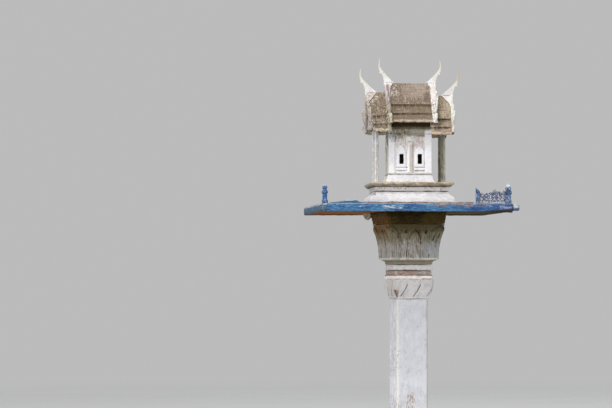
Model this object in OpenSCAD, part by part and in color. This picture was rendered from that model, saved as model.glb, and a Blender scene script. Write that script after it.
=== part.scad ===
// Cast concrete spirit house on a lotus pillar, weathered, with a square tray
// whose fence is mostly broken away. Millimetres, Z up. X runs along the ridge,
// Y runs away from the long side that faces the viewer, and the origin is on the
// ground in the middle of the pillar's foot.

/* [Tray] */
// Height of the underside of the tray above the ground
tray_underside = 1200; // [1000:10:1400]
// Side of the square tray
tray_side = 820; // [760:10:900]
// Thickness of the tray
tray_thick = 30; // [24:1:40]
// How far the rim round the underside of the tray hangs down
tray_rim = 6; // [1:1:12]
// How far the tray has been turned against the shrine, in degrees
tray_turn = 1.5; // [0:0.5:5]
// How far the tray lies to the left of the pillar's middle
tray_offset = 15; // [0:1:30]
// Height of the tall corner posts of the fence
fence_post_h = 86; // [70:1:100]
// Width of the tall corner posts of the fence
fence_post_w = 27; // [20:1:34]
// Height of the lattice panel where it is least broken
panel_h = 60; // [45:1:70]

/* [Pillar] */
// How far the pillar has been turned against the shrine, in degrees
pillar_turn = 8.5; // [0:0.5:15]
// Width of the square shaft
shaft_w = 142; // [125:1:160]
// Width of the bevel along the four edges of the shaft
shaft_bevel = 6; // [2:1:10]
// Width of the lotus capital at its neck
neck_w = 206; // [190:1:220]
// Width of the square slab on top of the capital
abacus_w = 276; // [260:1:300]
// Height of the whole capital down to the bottom of the collar
head_h = 380; // [360:5:420]
// Height of the plain block at the foot
foot_block_h = 90; // [60:5:120]
// Width of the plain block at the foot
foot_block_w = 300; // [280:5:340]
// How far the petals stand out of the capital
petal_relief = 6; // [4:0.5:8]

/* [Shrine base] */
// Length of the deck
deck_l = 363; // [340:1:370]
// Depth of the deck
deck_d = 344; // [320:1:350]
// Height of the deck above the tray
deck_h = 98; // [80:1:110]

/* [Shrine body] */
// Length of the walled room, outside
room_l = 190; // [180:1:200]
// Depth of the walled room, outside
room_d = 150; // [140:1:160]
// Thickness of the walls
wall_t = 14; // [10:1:18]
// Height of the flared foot under the walls
foot_h = 42; // [38:1:50]
// Width of the narrow windows
slot_w = 18; // [14:1:22]
// Height of the narrow windows
slot_h = 43; // [36:1:50]
// Half the distance between the two windows of a long wall
slot_x = 40; // [36:1:44]
// How far the windows and the mullion lie to the right of the wall's middle
slot_shift = 2.4; // [0:0.2:3]
// Height of the bottom of the windows above the foot
slot_up = 40; // [34:1:46]
// Width of the doorway in the front gable end
door_w = 52; // [44:1:60]
// Height of the doorway
door_h = 112; // [90:1:130]
// Width of the square porch posts
post_w = 16; // [12:1:18]
// Distance of the porch posts from the middle, along the ridge
post_x = 147; // [142:1:152]
// Distance of the porch posts from the middle, across the ridge
post_y = 68; // [64:1:72]

/* [Roofs] */
// Height of the upper ridge above the deck
ridge_up = 441; // [430:1:460]
// How much lower the front porch roof is than the upper one
roof_step = 41; // [38:1:50]
// How much lower the back porch roof is than the front one
porch_fall = 13; // [0:1:16]
// Half the length of the upper roof at its ridge, outside the bargeboards
upper_half = 115; // [104:1:118]
// How far the upper roof lies to the right of the room's middle
upper_shift = 7; // [0:1:8]
// Distance of the back gable from the middle at the ridge, outside the bargeboard
back_half = 197; // [190:1:204]
// The same for the front gable
front_half = 192; // [186:1:204]
// How much shorter the roofs are at the eaves than at the ridge, at each end
rake = 13; // [4:1:18]
// Half the depth of the roofs at their eaves
eave_y = 150; // [144:1:156]
// Thickness of the bargeboards
board_t = 9; // [7:0.5:12]
// Width of the white verge beside each upper bargeboard, at the ridge
upper_verge = 30; // [16:1:36]
// Width of the white verge beside each lower bargeboard, at the ridge
lower_verge = 45; // [30:1:50]
// Height of the horn finials above the ridge
horn_h = 108; // [90:1:115]
// Length of the upper horns' wedges along the ridge
upper_wedge = 46; // [36:1:54]
// Length of the lower horns' wedges along the ridge
lower_wedge = 54; // [36:1:60]

/* [Hidden] */

// Levels, from the ground up
tray_top = tray_underside + tray_thick;
deck_top = tray_top + deck_h;
room_floor = deck_top + foot_h;
upper_ridge = deck_top + ridge_up;
front_ridge = upper_ridge - roof_step;
back_ridge = front_ridge - porch_fall;
abacus_h = 54;
collar_h = 86;
fillet_h = 16;
groove_h = 22;
ring_h = 26;
collar_z = tray_underside - head_h;
fillet_z = collar_z + collar_h;
ring_z = fillet_z + fillet_h + groove_h;
capital_z = ring_z + ring_h;
abacus_z = tray_underside - abacus_h;
foot_ring_h = 24;
foot_lotus_h = 110;
shaft_z = foot_block_h + foot_lotus_h + foot_ring_h;

// The three tiers of a roof: how far from the ridge the upper two end, and how
// far under it they do, for the upper roof and for the porches
tier_y = [72, 108];
tier_drop = [95, 134];
porch_tier_y = [80, 118];
porch_tier_drop = [104, 141];
eave_top = 169;
lip = 8;
undercut = 7;
ridge_flat = 6;
shell = 24;
eave_edge = 12;
eave_drop = eave_top + eave_edge;

// The inside of a roof bends once, under the end of its top tier
knee_y = tier_y[0] - 4;
knee_drop = tier_drop[0] + shell;
soffit_y = eave_y - 10;
lean = rake / eave_drop;

// Colours of the finishes
white_paint = [0.86, 0.85, 0.83];
grey_paint = [0.74, 0.72, 0.70];
bare_cement = [0.55, 0.52, 0.46];
mossy_roof = [0.58, 0.52, 0.46];
blue_paint = [0.29, 0.51, 0.72];

// Points on a curve from a to c that is drawn towards b
function bend(a, b, c, steps = 6) = [
  for (i = [0 : steps]) let (t = i / steps)
    (1 - t) * (1 - t) * a + 2 * t * (1 - t) * b + t * t * c
];

// The same outline on the other side of the vertical axis, in reverse order
function mirrored(points) = [
  for (i = [len(points) - 1 : -1 : 0]) [-points[i][0], points[i][1]]
];

// A symmetrical outline from its right half, whose last point is on the axis
function both_sides(half) = concat(half, [
  for (i = [len(half) - 2 : -1 : 0]) [-half[i][0], half[i][1]]
]);

// A moulding that runs round a rectangular block with mitred corners. The
// profile gives how far each level stands out from the block's own size
module moulding(length, depth, profile) {
  intersection() {
    rotate([90, 0, 0])
      linear_extrude(height = depth + 400, center = true)
        polygon(concat(
          [for (p = profile) [length / 2 + p[0], p[1]]],
          mirrored([for (p = profile) [length / 2 + p[0], p[1]]])
        ));
    rotate([90, 0, 90])
      linear_extrude(height = length + 400, center = true)
        polygon(concat(
          [for (p = profile) [depth / 2 + p[0], p[1]]],
          mirrored([for (p = profile) [depth / 2 + p[0], p[1]]])
        ));
  }
}

// Everything on the pillar's axis, turned as the pillar is
module on_pillar(z) {
  translate([0, 0, z])
    rotate([0, 0, pillar_turn])
      children();
}

// The tray and everything that stands on its edge, turned as the tray is
module on_tray(z) {
  translate([-tray_offset, 0, z])
    rotate([0, 0, tray_turn])
      children();
}

// Lotus capital

// Half width of the capital's concave flare at a level from 0 at the neck to 1
function flare(level, low, high) = low + (high - low) * pow(level, 2.6);

// The solid under the petals, or the skin that they are cut from, which stands
// out a little at the neck and more towards the tips
module lotus_body(low, high, height, grow_low, grow_high) {
  steps = 8;
  moulding(0, 0, [
    for (i = [0 : steps]) let (level = i / steps)
      [flare(level, low, high) + grow_low + (grow_high - grow_low) * level, height * level]
  ]);
}

// A long petal that swells a little and comes to a point
module petal_outline(width, height) {
  belly = [width / 2, height * 0.5];
  edge = concat(
    bend([width * 0.44, 0], [width * 0.49, height * 0.3], belly, 2),
    bend(belly, [width / 2, height * 0.84], [0, height], 5)
  );
  polygon(both_sides(edge));
}

// The petals of one face, drawn flat: the middle petal and the halves of those
// that wrap round the corners, or the back row that shows between them
module face_petals(low, height, back_row) {
  middle_w = low * 0.49;
  corner_w = low * 0.38;
  gap_w = low - middle_w / 2 - corner_w;
  if (back_row) {
    for (side = [-1, 1])
      translate([side * (middle_w + gap_w) / 2, 0])
        petal_outline(gap_w - 4, height * 0.92);
  } else {
    petal_outline(middle_w, height * 0.82);
    for (side = [-1, 1])
      translate([side * (low + 4), 0])
        petal_outline((corner_w + 4) * 2, height * 0.94);
  }
}

// The quarter of a square pillar that lies behind its face towards -Y
module face_quarter(reach, height) {
  linear_extrude(height = height)
    polygon([[0, 0], [reach, -reach], [-reach, -reach]]);
}

// A square capital with two rows of petals over a concave flare
module lotus(low, high, height, relief) {
  union() {
    lotus_body(low, high, height, 0, 0);
    for (turn = [0 : 90 : 270])
      rotate([0, 0, turn])
        for (row = [0, 1])
          intersection() {
            lotus_body(low, high, height, relief * (1 - 0.6 * row), relief * (1.5 - 0.7 * row));
            face_quarter(high + 60, height);
            rotate([90, 0, 0])
              linear_extrude(height = high + 60)
                face_petals(low, height, row == 1);
          }
  }
}

module foot_block() {
  color(grey_paint)
    on_pillar(0)
      moulding(foot_block_w, foot_block_w, [
        [0, 0], [0, foot_block_h - 12], [-4, foot_block_h - 4], [-12, foot_block_h]
      ]);
}

module foot_lotus() {
  high = foot_block_w / 2 - 18;
  low = shaft_w / 2 + 24;
  color(grey_paint)
    on_pillar(foot_block_h + foot_lotus_h)
      mirror([0, 0, 1])
        lotus(low, high, foot_lotus_h, petal_relief);
}

module foot_ring() {
  half = shaft_w / 2 + 14;
  color(grey_paint)
    on_pillar(foot_block_h + foot_lotus_h)
      moulding(0, 0, concat(
        bend([half, 0], [half + 16, foot_ring_h / 2], [half, foot_ring_h], 6)
      ));
}

module pillar_shaft() {
  half = shaft_w / 2;
  cut = half - shaft_bevel;
  color(white_paint)
    on_pillar(shaft_z)
      linear_extrude(height = collar_z - shaft_z)
        polygon([
          [half, -cut], [half, cut], [cut, half], [-cut, half],
          [-half, cut], [-half, -cut], [-cut, -half], [cut, -half]
        ]);
}

// The bowl-shaped outline of the collar, standing out by a given amount
function collar_line(low, high, out) = concat(
  [[low + out, 8]],
  bend([low + 1 + out, 10], [high + out, collar_h * 0.38], [high + out, collar_h], 6)
);

// Three pointed petals that hang side by side on one face of the collar
module hanging_petals(pitch, rise, reach) {
  for (i = [-1 : 1])
    translate([i * pitch, 0])
      polygon(both_sides(concat(
        [[pitch / 2 - 1, reach]],
        bend([pitch / 2 - 1, rise], [pitch * 0.36, rise * 0.5], [0, 9], 4)
      )));
}

// The collar is a bowl with the petals standing out of it, and a flat line at
// its bottom
module pillar_collar() {
  low = shaft_w / 2 + 2;
  high = shaft_w / 2 + 17;
  color(grey_paint)
    on_pillar(collar_z)
      union() {
        moulding(0, 0, concat([[low + 2, 0], [low + 2, 6]], collar_line(low, high, 0)));
        for (turn = [0 : 90 : 270])
          rotate([0, 0, turn])
            intersection() {
              moulding(0, 0, collar_line(low, high, petal_relief / 2));
              face_quarter(high + 40, collar_h);
              rotate([90, 0, 0])
                linear_extrude(height = high + 40)
                  hanging_petals(high * 2 / 3, collar_h * 0.66, collar_h);
            }
      }
}

// A white fillet and the recessed groove over it
module neck_fillet() {
  half = shaft_w / 2;
  color(grey_paint)
    on_pillar(fillet_z)
      moulding(0, 0, [
        [half + 17, 0], [half + 18, fillet_h - 3], [half + 16, fillet_h],
        [half + 12, fillet_h + 2], [half + 12, fillet_h + groove_h]
      ]);
}

module neck_ring() {
  half = neck_w / 2 - 17;
  color(grey_paint)
    on_pillar(ring_z)
      moulding(0, 0, bend([half - 2, 0], [half + 6, ring_h * 0.6], [half - 3, ring_h], 6));
}

module lotus_capital() {
  low = neck_w / 2;
  high = abacus_w / 2 - 7;
  height = abacus_z - capital_z;
  color(bare_cement)
    on_pillar(capital_z) {
      union() {
        moulding(0, 0, [[low - 17, 0], [low - 17, 12], [low - 2, 19], [low, 24]]);
        translate([0, 0, 22])
          lotus(low, high, height - 22, petal_relief);
      }
    }
}

// The slab on the capital. Of the leaves that hung at its corners only the one
// at the left on the far side is left
module abacus() {
  half = abacus_w / 2;
  corner = half * sqrt(2);
  color(bare_cement)
    on_pillar(abacus_z)
      union() {
        moulding(0, 0, [
          [half - 7, 0], [half - 4, abacus_h * 0.4], [half, abacus_h - 8], [half, abacus_h]
        ]);
        translate([0, 0, abacus_h])
          rotate([90, 0, 135])
            linear_extrude(height = 22, center = true)
              polygon(concat(
                [[corner - 12, 0], [corner + 36, 0]],
                bend([corner + 36, -4], [corner + 32, -26], [corner + 18, -33], 4),
                bend([corner + 11, -31], [corner + 3, -18], [corner - 12, -16], 4)
              ));
      }
}

// Tray and what is left of its fence

// The slab hangs over its own underside in a low rim
module tray_slab() {
  thick = tray_thick + tray_rim;
  hollow = tray_side - 28;
  color(blue_paint)
    on_tray(tray_underside - tray_rim)
      difference() {
        moulding(tray_side, tray_side, [[-3, 0], [0, 2], [0, thick - 3], [-3, thick]]);
        translate([-hollow / 2, -hollow / 2, -1])
          cube([hollow, hollow, tray_rim + 1]);
      }
}

// A stretch of the fence's bottom rail, broken off along its top, and the ragged
// bed of mortar where the rest of the fence stood
module tray_rail_stub() {
  half = tray_side / 2;
  start = -half + fence_post_w + 6;
  bed_h = 7;
  color(blue_paint)
    on_tray(tray_top)
      translate([0, -half + 22, 0])
        rotate([90, 0, 0])
          linear_extrude(height = 16)
            polygon([
              [start, 0], [panel_left - 22, 0], [panel_left - 26, bed_h - 2], [210, bed_h],
              [165, bed_h - 3], [120, bed_h - 1], [70, bed_h - 3], [10, bed_h], [-50, bed_h - 2],
              [-110, bed_h + 1], [-150, bed_h - 3], [-200, bed_h], [start + 136, bed_h - 3],
              [start + 124, 9], [start + 112, 16], [start + 96, 13],
              [start + 84, 14], [start + 58, 9], [start + 40, 7], [start + 22, 3], [start + 4, 4]
            ]);
}

// A rounded lump with a hollow, left where the corner of the tray has broken
module tray_corner_lump() {
  half = tray_side / 2;
  lump_r = 17;
  lump_h = 30;
  color(grey_paint)
    on_tray(tray_underside - 2)
      translate([half, -half + 24, 0])
        difference() {
          translate([lump_r - 2, 0, 0])
            intersection() {
              moulding(0, 0, concat(
                [[10, 0], [lump_r - 3, 3]],
                bend([lump_r - 1, 8], [lump_r + 1, 18], [lump_r - 4, lump_h - 1], 4),
                [[9, lump_h]]
              ));
              linear_extrude(height = lump_h)
                circle(r = lump_r + 1, $fn = 12);
            }
          translate([lump_r - 2, 0, lump_h - 13])
            cylinder(h = lump_h, r = 7, $fn = 12);
          translate([-40, -40, -10])
            cube([40, 80, 60]);
        }
}

// A square fence post with grooves and a bud on its top
module fence_post(width, height) {
  half = width / 2;
  bud = height - width * 1.1;
  moulding(0, 0, concat(
    [[half, 0], [half, 10], [half - 3, 14], [half - 3, bud - 18], [half, bud - 14],
     [half, bud - 6], [half - 5, bud - 2]],
    bend([half - 4, bud + 2], [half + 1, bud + 12], [3, height - 3], 5),
    [[1, height]]
  ));
}

module left_corner_post() {
  half = tray_side / 2;
  color(blue_paint)
    on_tray(tray_top)
      translate([-half + fence_post_w / 2 + 2, -half + fence_post_w / 2 + 2, 0])
        fence_post(fence_post_w - 2, fence_post_h - 2);
}

module right_corner_post() {
  half = tray_side / 2;
  color(blue_paint)
    on_tray(tray_top)
      translate([half - fence_post_w / 2 - 4, -half + fence_post_w / 2 + 2, 0])
        fence_post(fence_post_w + 1, fence_post_h);
}

panel_right = tray_side / 2 - fence_post_w - 5;
panel_left = panel_right - 108;

// A short post whose top has broken off at a slant
module broken_fence_post() {
  half = tray_side / 2;
  color(blue_paint)
    on_tray(tray_top)
      translate([panel_left - 9, -half + 14, 0])
        rotate([90, 0, 0])
          linear_extrude(height = 16, center = true)
            polygon([[-9, 0], [9, 0], [9, 48], [5, 56], [-2, 58], [-7, 68], [-9, 67]]);
}

// A panel of pierced lattice between two rails, with a ragged broken top
module fence_panel() {
  half = tray_side / 2;
  pitch = 18;
  color(blue_paint)
    on_tray(tray_top)
      translate([panel_left, -half + 18, 0])
        rotate([90, 0, 0])
          linear_extrude(height = 9)
            difference() {
              polygon([
                [0, 0], [108, 0], [108, 50], [102, 55], [96, 47], [90, 44], [84, 52], [74, 49],
                [68, panel_h], [58, 55], [52, 46], [44, 48], [36, 41], [26, 46], [18, 39], [8, 45],
                [0, 41]
              ]);
              for (i = [0 : 5]) {
                translate([9 + i * pitch, 18])
                  circle(d = 8, $fn = 8);
                translate([9 + i * pitch, 33])
                  circle(d = 7, $fn = 8);
              }
            }
}

// Base of the shrine

skirt_h = 57;
waist_h = 20;
cornice_h = deck_h - skirt_h - waist_h;

// The skirt sweeps out under the waist and ends in a rounded foot
module base_skirt() {
  color(white_paint)
    translate([0, 0, tray_top])
      moulding(deck_l, deck_d, concat(
        [[3, 0], [5, 4]],
        bend([5, 8], [5, 25], [-3, 34], 4),
        bend([-3, 34], [-18, 43], [-22, skirt_h - 6], 4),
        [[-19, skirt_h - 5], [-19, skirt_h]]
      ));
}

module base_waist() {
  color(white_paint)
    translate([0, 0, tray_top + skirt_h])
      moulding(deck_l, deck_d, [
        [-23, 0], [-23, 5], [-21, 8], [-21, waist_h - 6], [-16, waist_h]
      ]);
}

module base_deck() {
  color(bare_cement)
    translate([0, 0, tray_top + skirt_h + waist_h])
      moulding(deck_l, deck_d, [
        [-12, 0], [-9, 4], [-2, 9], [0, 11], [0, cornice_h - 2], [-2, cornice_h]
      ]);
}

// The room

// The flared foot is also the floor of the room
module wall_foot() {
  color(white_paint)
    translate([0, 0, deck_top])
      moulding(room_l, room_d, concat(
        [[13, 0], [13, 4]],
        bend([12, 6], [5, 20], [3, foot_h - 10], 4),
        [[1, foot_h - 9], [1, foot_h - 6], [4, foot_h - 4], [4, foot_h - 1], [2, foot_h]]
      ));
}

wall_h = upper_ridge + soffit_at(room_d / 2) - room_floor - 1;
frieze_up = 161;
pilaster_w = 28;
mullion_w = 20;
relief = 4;

// The front of a long wall, drawn flat: the windows are cut right through it
module wall_front(height) {
  difference() {
    translate([-room_l / 2, 0])
      square([room_l, height]);
    for (side = [-1, 1])
      translate([slot_shift + side * slot_x - slot_w / 2, slot_up])
        square([slot_w, slot_h]);
  }
}

// Pilasters, the mullion with its stepped head, and the frieze line
module wall_trim() {
  for (side = [-1, 1])
    translate([side * (room_l - pilaster_w) / 2 - pilaster_w / 2, 0])
      square([pilaster_w, frieze_up]);
  translate([slot_shift - mullion_w / 2, 0])
    square([mullion_w, frieze_up - 36]);
  for (step = [0 : 2])
    translate([slot_shift - mullion_w / 2 + 2 - step * 2, frieze_up - 34 + step * 12])
      square([mullion_w - 4 + step * 4, 7]);
  translate([-room_l / 2, frieze_up])
    square([room_l, 9]);
}

// A long wall, standing on the foot with its outside towards -Y
module long_wall() {
  translate([0, -room_d / 2 + wall_t, room_floor])
    rotate([90, 0, 0]) {
      union() {
        linear_extrude(height = wall_t - relief)
          wall_front(wall_h);
        translate([0, 0, wall_t - relief])
          linear_extrude(height = relief)
            wall_trim();
      }
    }
}

module near_wall() {
  color(white_paint)
    long_wall();
}

module far_wall() {
  color(white_paint)
    rotate([0, 0, 180])
      long_wall();
}

// Surround of a window: a stepped sill, a frame and a flame over it
module window_surround() {
  outer = slot_w / 2 + 12;
  head = slot_up + slot_h + 10;
  peak = 124;
  flame = bend([outer - 2, head], [outer - 5, head + 16], [0, peak], 4);
  difference() {
    polygon(both_sides(concat(
      [[outer + 4, 12], [outer + 4, 18], [outer + 1, 20], [outer + 1, 25], [outer - 2, 27]],
      flame
    )));
    translate([-slot_w / 2, slot_up])
      square([slot_w, slot_h]);
  }
}

// The surrounds lie on the recessed face of the wall
module wall_surrounds() {
  translate([0, -room_d / 2 + relief, room_floor])
    rotate([90, 0, 0])
      linear_extrude(height = relief - 0.5)
        for (side = [-1, 1])
          translate([slot_shift + side * slot_x, 0])
            window_surround();
}

module near_window_frames() {
  color(white_paint)
    wall_surrounds();
}

module far_window_frames() {
  color(white_paint)
    rotate([0, 0, 180])
      wall_surrounds();
}

// Roofs

// Half of the roof's outer line: [distance from the ridge, height under it]
function roof_line(out, drop) = [
  [ridge_flat, 0],
  [out[0], -drop[0]], [out[0] - undercut, -drop[0] - lip],
  [out[1], -drop[1]], [out[1] - undercut, -drop[1] - lip],
  [eave_y, -eave_top], [eave_y - 1, -eave_drop]
];

// Half of the roof's inner line, from the eave up to the ridge
function soffit_line() = [[soffit_y, -eave_drop], [knee_y, -knee_drop], [0, -shell]];

// Height of the inner line under the ridge, at a distance from the middle
function soffit_at(y) = y < knee_y
  ? -shell - tier_drop[0] * y / knee_y
  : -knee_drop - (eave_drop - knee_drop) * (y - knee_y) / (soffit_y - knee_y);

// A three-tiered roof shell between two planes that lean out towards the ridge
module roof(ridge_z, start, end, start_rake, end_rake, out, drop) {
  half = concat(roof_line(out, drop), soffit_line());
  intersection() {
    translate([0, 0, ridge_z])
      rotate([90, 0, 90])
        linear_extrude(height = end + 100)
          polygon(both_sides(half));
    translate([0, eave_y + 50, ridge_z])
      rotate([90, 0, 0])
        linear_extrude(height = 2 * eave_y + 100)
          polygon([
            [start, 0], [end, 0],
            [end - end_rake, -eave_drop], [start + start_rake, -eave_drop]
          ]);
  }
}

module upper_roof() {
  half = upper_half - board_t;
  color(mossy_roof)
    translate([upper_shift - 200, 0, 0])
      roof(upper_ridge, 200 - half, 200 + half, rake, rake, tier_y, tier_drop);
}

// A porch roof stands against the gable end of the room, and a band of mortar
// closes it over the edge of each long wall
module porch_roof(ridge_z, half_length) {
  wall_end = room_l / 2;
  wall_face = room_d / 2 - relief;
  lap = 9;
  rise = 2;
  union() {
    roof(ridge_z, wall_end, half_length - board_t, 0, rake, porch_tier_y, porch_tier_drop);
    for (side = [0, 1])
      mirror([0, side, 0])
        intersection() {
          roof(ridge_z + rise, wall_end - lap, wall_end + 5, 0, 0, porch_tier_y, porch_tier_drop);
          translate([0, wall_face, ridge_z - eave_drop])
            cube([room_l, eave_y, eave_drop]);
        }
  }
}

module front_porch_roof() {
  color(mossy_roof)
    mirror([1, 0, 0])
      porch_roof(front_ridge, front_half);
}

module back_porch_roof() {
  color(mossy_roof)
    porch_roof(back_ridge, back_half);
}

// Gable ends of the room, reaching up to the underside of the upper roof

function gable_line() = [
  [room_d / 2 - wall_t, 0],
  [room_d / 2 - wall_t, wall_h],
  [room_d / 2, wall_h],
  [knee_y, upper_ridge - knee_drop - room_floor],
  [0, upper_ridge - shell - room_floor]
];

// The space behind the leaning plane of the upper front board, which the wall
// under it is cut back to
module board_seat() {
  back = upper_half - board_t - upper_shift;
  fall = knee_drop + 18;
  translate([0, room_d, upper_ridge])
    rotate([90, 0, 0])
      linear_extrude(height = 2 * room_d)
        polygon([
          [back, 0], [back - lean * fall, -fall], [room_l / 2 + 20, -fall], [room_l / 2 + 20, 0]
        ]);
}

// An end wall with its outside towards +X, and one opening cut through it
module end_wall(opening_w, opening_h, opening_up) {
  half = gable_line();
  translate([room_l / 2 - wall_t, 0, room_floor])
    rotate([90, 0, 90])
      linear_extrude(height = wall_t)
        difference() {
          polygon(both_sides(half));
          translate([-opening_w / 2, opening_up])
            square([opening_w, opening_h]);
        }
}

module front_end_wall() {
  color(white_paint)
    mirror([1, 0, 0])
      difference() {
        end_wall(door_w, door_h + 1, -1);
        board_seat();
      }
}

module back_end_wall() {
  color(white_paint)
    end_wall(slot_w, slot_h, slot_up);
}

// The doorway has a raised frame with a pointed flame over it
module front_door_frame() {
  outer = door_w / 2 + 10;
  flame = bend([outer, door_h + 8], [outer - 6, door_h + 30], [0, door_h + 52], 5);
  color(white_paint)
    mirror([1, 0, 0])
      translate([room_l / 2, 0, room_floor])
        rotate([90, 0, 90])
          linear_extrude(height = relief)
            difference() {
              polygon(both_sides(concat([[outer, 0]], flame)));
              translate([-door_w / 2, -1])
                square([door_w, door_h + 1]);
            }
}

module back_window_frame() {
  color(white_paint)
    translate([room_l / 2, 0, room_floor])
      rotate([90, 0, 90])
        linear_extrude(height = relief)
          window_surround();
}

// Porches

beam_h = 14;

// Height of the underside of a porch's beams
function beam_under(ridge_z) = ridge_z + soffit_at(post_y + post_w / 2) - beam_h;

module porch_posts(ridge_z) {
  height = beam_under(ridge_z) - deck_top;
  for (side = [-1, 1])
    translate([post_x, side * post_y, deck_top])
      union() {
        translate([0, 0, height / 2])
          cube([post_w, post_w, height], center = true);
        moulding(post_w, post_w, [[3, 0], [3, 8], [0, 12]]);
      }
}

module front_porch_posts() {
  color(white_paint)
    mirror([1, 0, 0])
      porch_posts(front_ridge);
}

module back_porch_posts() {
  color(white_paint)
    porch_posts(back_ridge);
}

// Two beams from the wall to the posts, cut to the slope of the roof, and a tie
module porch_beams(ridge_z) {
  inside = post_y - post_w / 2;
  outside = post_y + post_w / 2;
  beam_z = beam_under(ridge_z);
  top_in = ridge_z + soffit_at(inside);
  union() {
    for (side = [0, 1])
      mirror([0, side, 0])
        translate([room_l / 2, 0, 0])
          rotate([90, 0, 90])
            linear_extrude(height = post_x + post_w / 2 - room_l / 2)
              polygon([
                [inside, beam_z], [outside, beam_z], [outside, beam_z + beam_h],
                [knee_y, ridge_z - knee_drop], [inside, top_in]
              ]);
    translate([post_x - post_w / 2, -inside, beam_z])
      cube([post_w, 2 * inside, beam_h]);
  }
}

module front_porch_beams() {
  color(bare_cement)
    mirror([1, 0, 0])
      porch_beams(front_ridge);
}

module back_porch_beams() {
  color(bare_cement)
    porch_beams(back_ridge);
}

// The plain panel that closes a porch gable, hung under the end of the roof and
// flush with the back of the bargeboards
module porch_gable(ridge_z, half_length) {
  low = 163;
  foot_y = knee_y + (soffit_y - knee_y) * (low - knee_drop) / (eave_drop - knee_drop);
  face = half_length - board_t;
  back = face - 12;
  translate([0, 0, ridge_z])
    intersection() {
      rotate([90, 0, 90])
        linear_extrude(height = face)
          polygon(both_sides([[foot_y, -low], [knee_y, -knee_drop], [0, -shell]]));
      rotate([90, 0, 0])
        linear_extrude(height = 2 * eave_y, center = true)
          polygon([[face, 0], [back, 0], [back - lean * low, -low], [face - lean * low, -low]]);
    }
}

module front_porch_gable() {
  color(grey_paint)
    mirror([1, 0, 0])
      porch_gable(front_ridge, front_half);
}

module back_porch_gable() {
  color(grey_paint)
    porch_gable(back_ridge, back_half);
}

// Bargeboards

// A tail that curls out and up, from the board's edge at p to its tip and back
function tail(p, reach, rise) = concat(
  bend(p + [-8, 11], p + [reach * 0.2, rise * 0.35], p + [reach, rise], 4),
  bend(p + [reach, rise], p + [reach + 5, rise * 0.3], p + [reach * 0.3, -8], 4)
);

// The place where the eave ends, on one slope
eave = [eave_y, -eave_top];

// The upper edge of one side of a bargeboard, with a tail at the end of each
// tier: the knee is where the top tier ends and the hip is where the next does
function board_edge(knee, hip) = concat(
  [[7, 0]],
  bend([11, 2], knee / 2 + [0, 10], knee + [-4, 20], 5),
  tail(knee + [4, 0], 9, 62),
  bend(knee + [14, -10], hip + [-12, 18], hip + [-6, 14], 3),
  tail(hip + [4, 0], 32, 72),
  bend(hip + [14, -9], eave + [-14, 14], eave + [-8, 10], 3),
  tail(eave + [2, -6], 14, 36)
);

// The lower edge, from the tail at the eave back up to the ridge
function board_under(knee, hip) = concat(
  bend(eave + [5, -20], eave + [-4, -28], eave + [-15, -14], 4),
  [hip + [-8, -24], knee + [-14, -17], [0, -34]]
);

// How far a verge reaches in from the board at each level under the ridge
upper_verge_line = [
  [upper_verge, 0], [upper_verge - 11, -20], [upper_verge - 16, -64], [12, -tier_drop[0]]
];
lower_verge_line = [
  [lower_verge, 0], [lower_verge - 8, -8], [18, -30], [6, -48], [10, -porch_tier_drop[0]]
];

// A raised white verge lies on the top tier beside the board, wide at the ridge
module verge(half_length, line, knee) {
  inner = half_length - board_t;
  rise = 5;
  for (side = [0, 1])
    mirror([0, side, 0])
      intersection() {
        rotate([90, 0, 90])
          linear_extrude(height = half_length)
            polygon([
              [ridge_flat, 0], [ridge_flat + rise, 0], knee + [rise, 2], knee
            ]);
        rotate([90, 0, 0])
          translate([0, 0, -eave_y])
            linear_extrude(height = eave_y)
              polygon(concat(
                [for (p = line) [inner - p[0], p[1]]],
                [[inner - 2, knee[1]], [inner + 1, 0]]
              ));
      }
}

// Both sides of a gable: one board between two planes that lean out upwards
module bargeboard(ridge_z, half_length, verge_line, out, drop) {
  knee = [out[0], -drop[0]];
  hip = [out[1], -drop[1]];
  half = concat(board_edge(knee, hip), board_under(knee, hip));
  fall = eave_top + 60;
  inner = half_length - board_t;
  translate([0, 0, ridge_z])
    union() {
      intersection() {
        rotate([90, 0, 90])
          linear_extrude(height = half_length + 20)
            polygon(both_sides(half));
        translate([0, eave_y + 60, 0])
          rotate([90, 0, 0])
            linear_extrude(height = 2 * eave_y + 120)
              polygon([
                [half_length + lean * 40, 40], [inner + lean * 40, 40],
                [inner - lean * fall, -fall], [half_length - lean * fall, -fall]
              ]);
      }
      verge(half_length, verge_line, knee);
    }
}

module upper_front_bargeboard() {
  color(white_paint)
    translate([upper_shift, 0, 0])
      mirror([1, 0, 0])
        bargeboard(upper_ridge, upper_half, upper_verge_line, tier_y, tier_drop);
}

module upper_back_bargeboard() {
  color(white_paint)
    translate([upper_shift, 0, 0])
      bargeboard(upper_ridge, upper_half, upper_verge_line, tier_y, tier_drop);
}

module lower_bargeboard(ridge_z, half_length) {
  bargeboard(ridge_z, half_length, lower_verge_line, porch_tier_y, porch_tier_drop);
}

// The tips at both eaves of the front board have broken off
module lower_front_bargeboard() {
  broken = [[eave_y - 12, -eave_drop - 60], [eave_y - 12, -eave_top - 3], [eave_y - 3, -eave_top + 3],
    [eave_y + 40, -eave_top + 8], [eave_y + 40, -eave_drop - 60]];
  color(white_paint)
    mirror([1, 0, 0])
      difference() {
        lower_bargeboard(front_ridge, front_half);
        for (side = [0, 1])
          mirror([0, side, 0])
            translate([0, 0, front_ridge])
              rotate([90, 0, 90])
                linear_extrude(height = front_half + 20)
                  polygon(broken);
      }
}

module lower_back_bargeboard() {
  color(white_paint)
    lower_bargeboard(back_ridge, back_half);
}

// Horn finials

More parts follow.
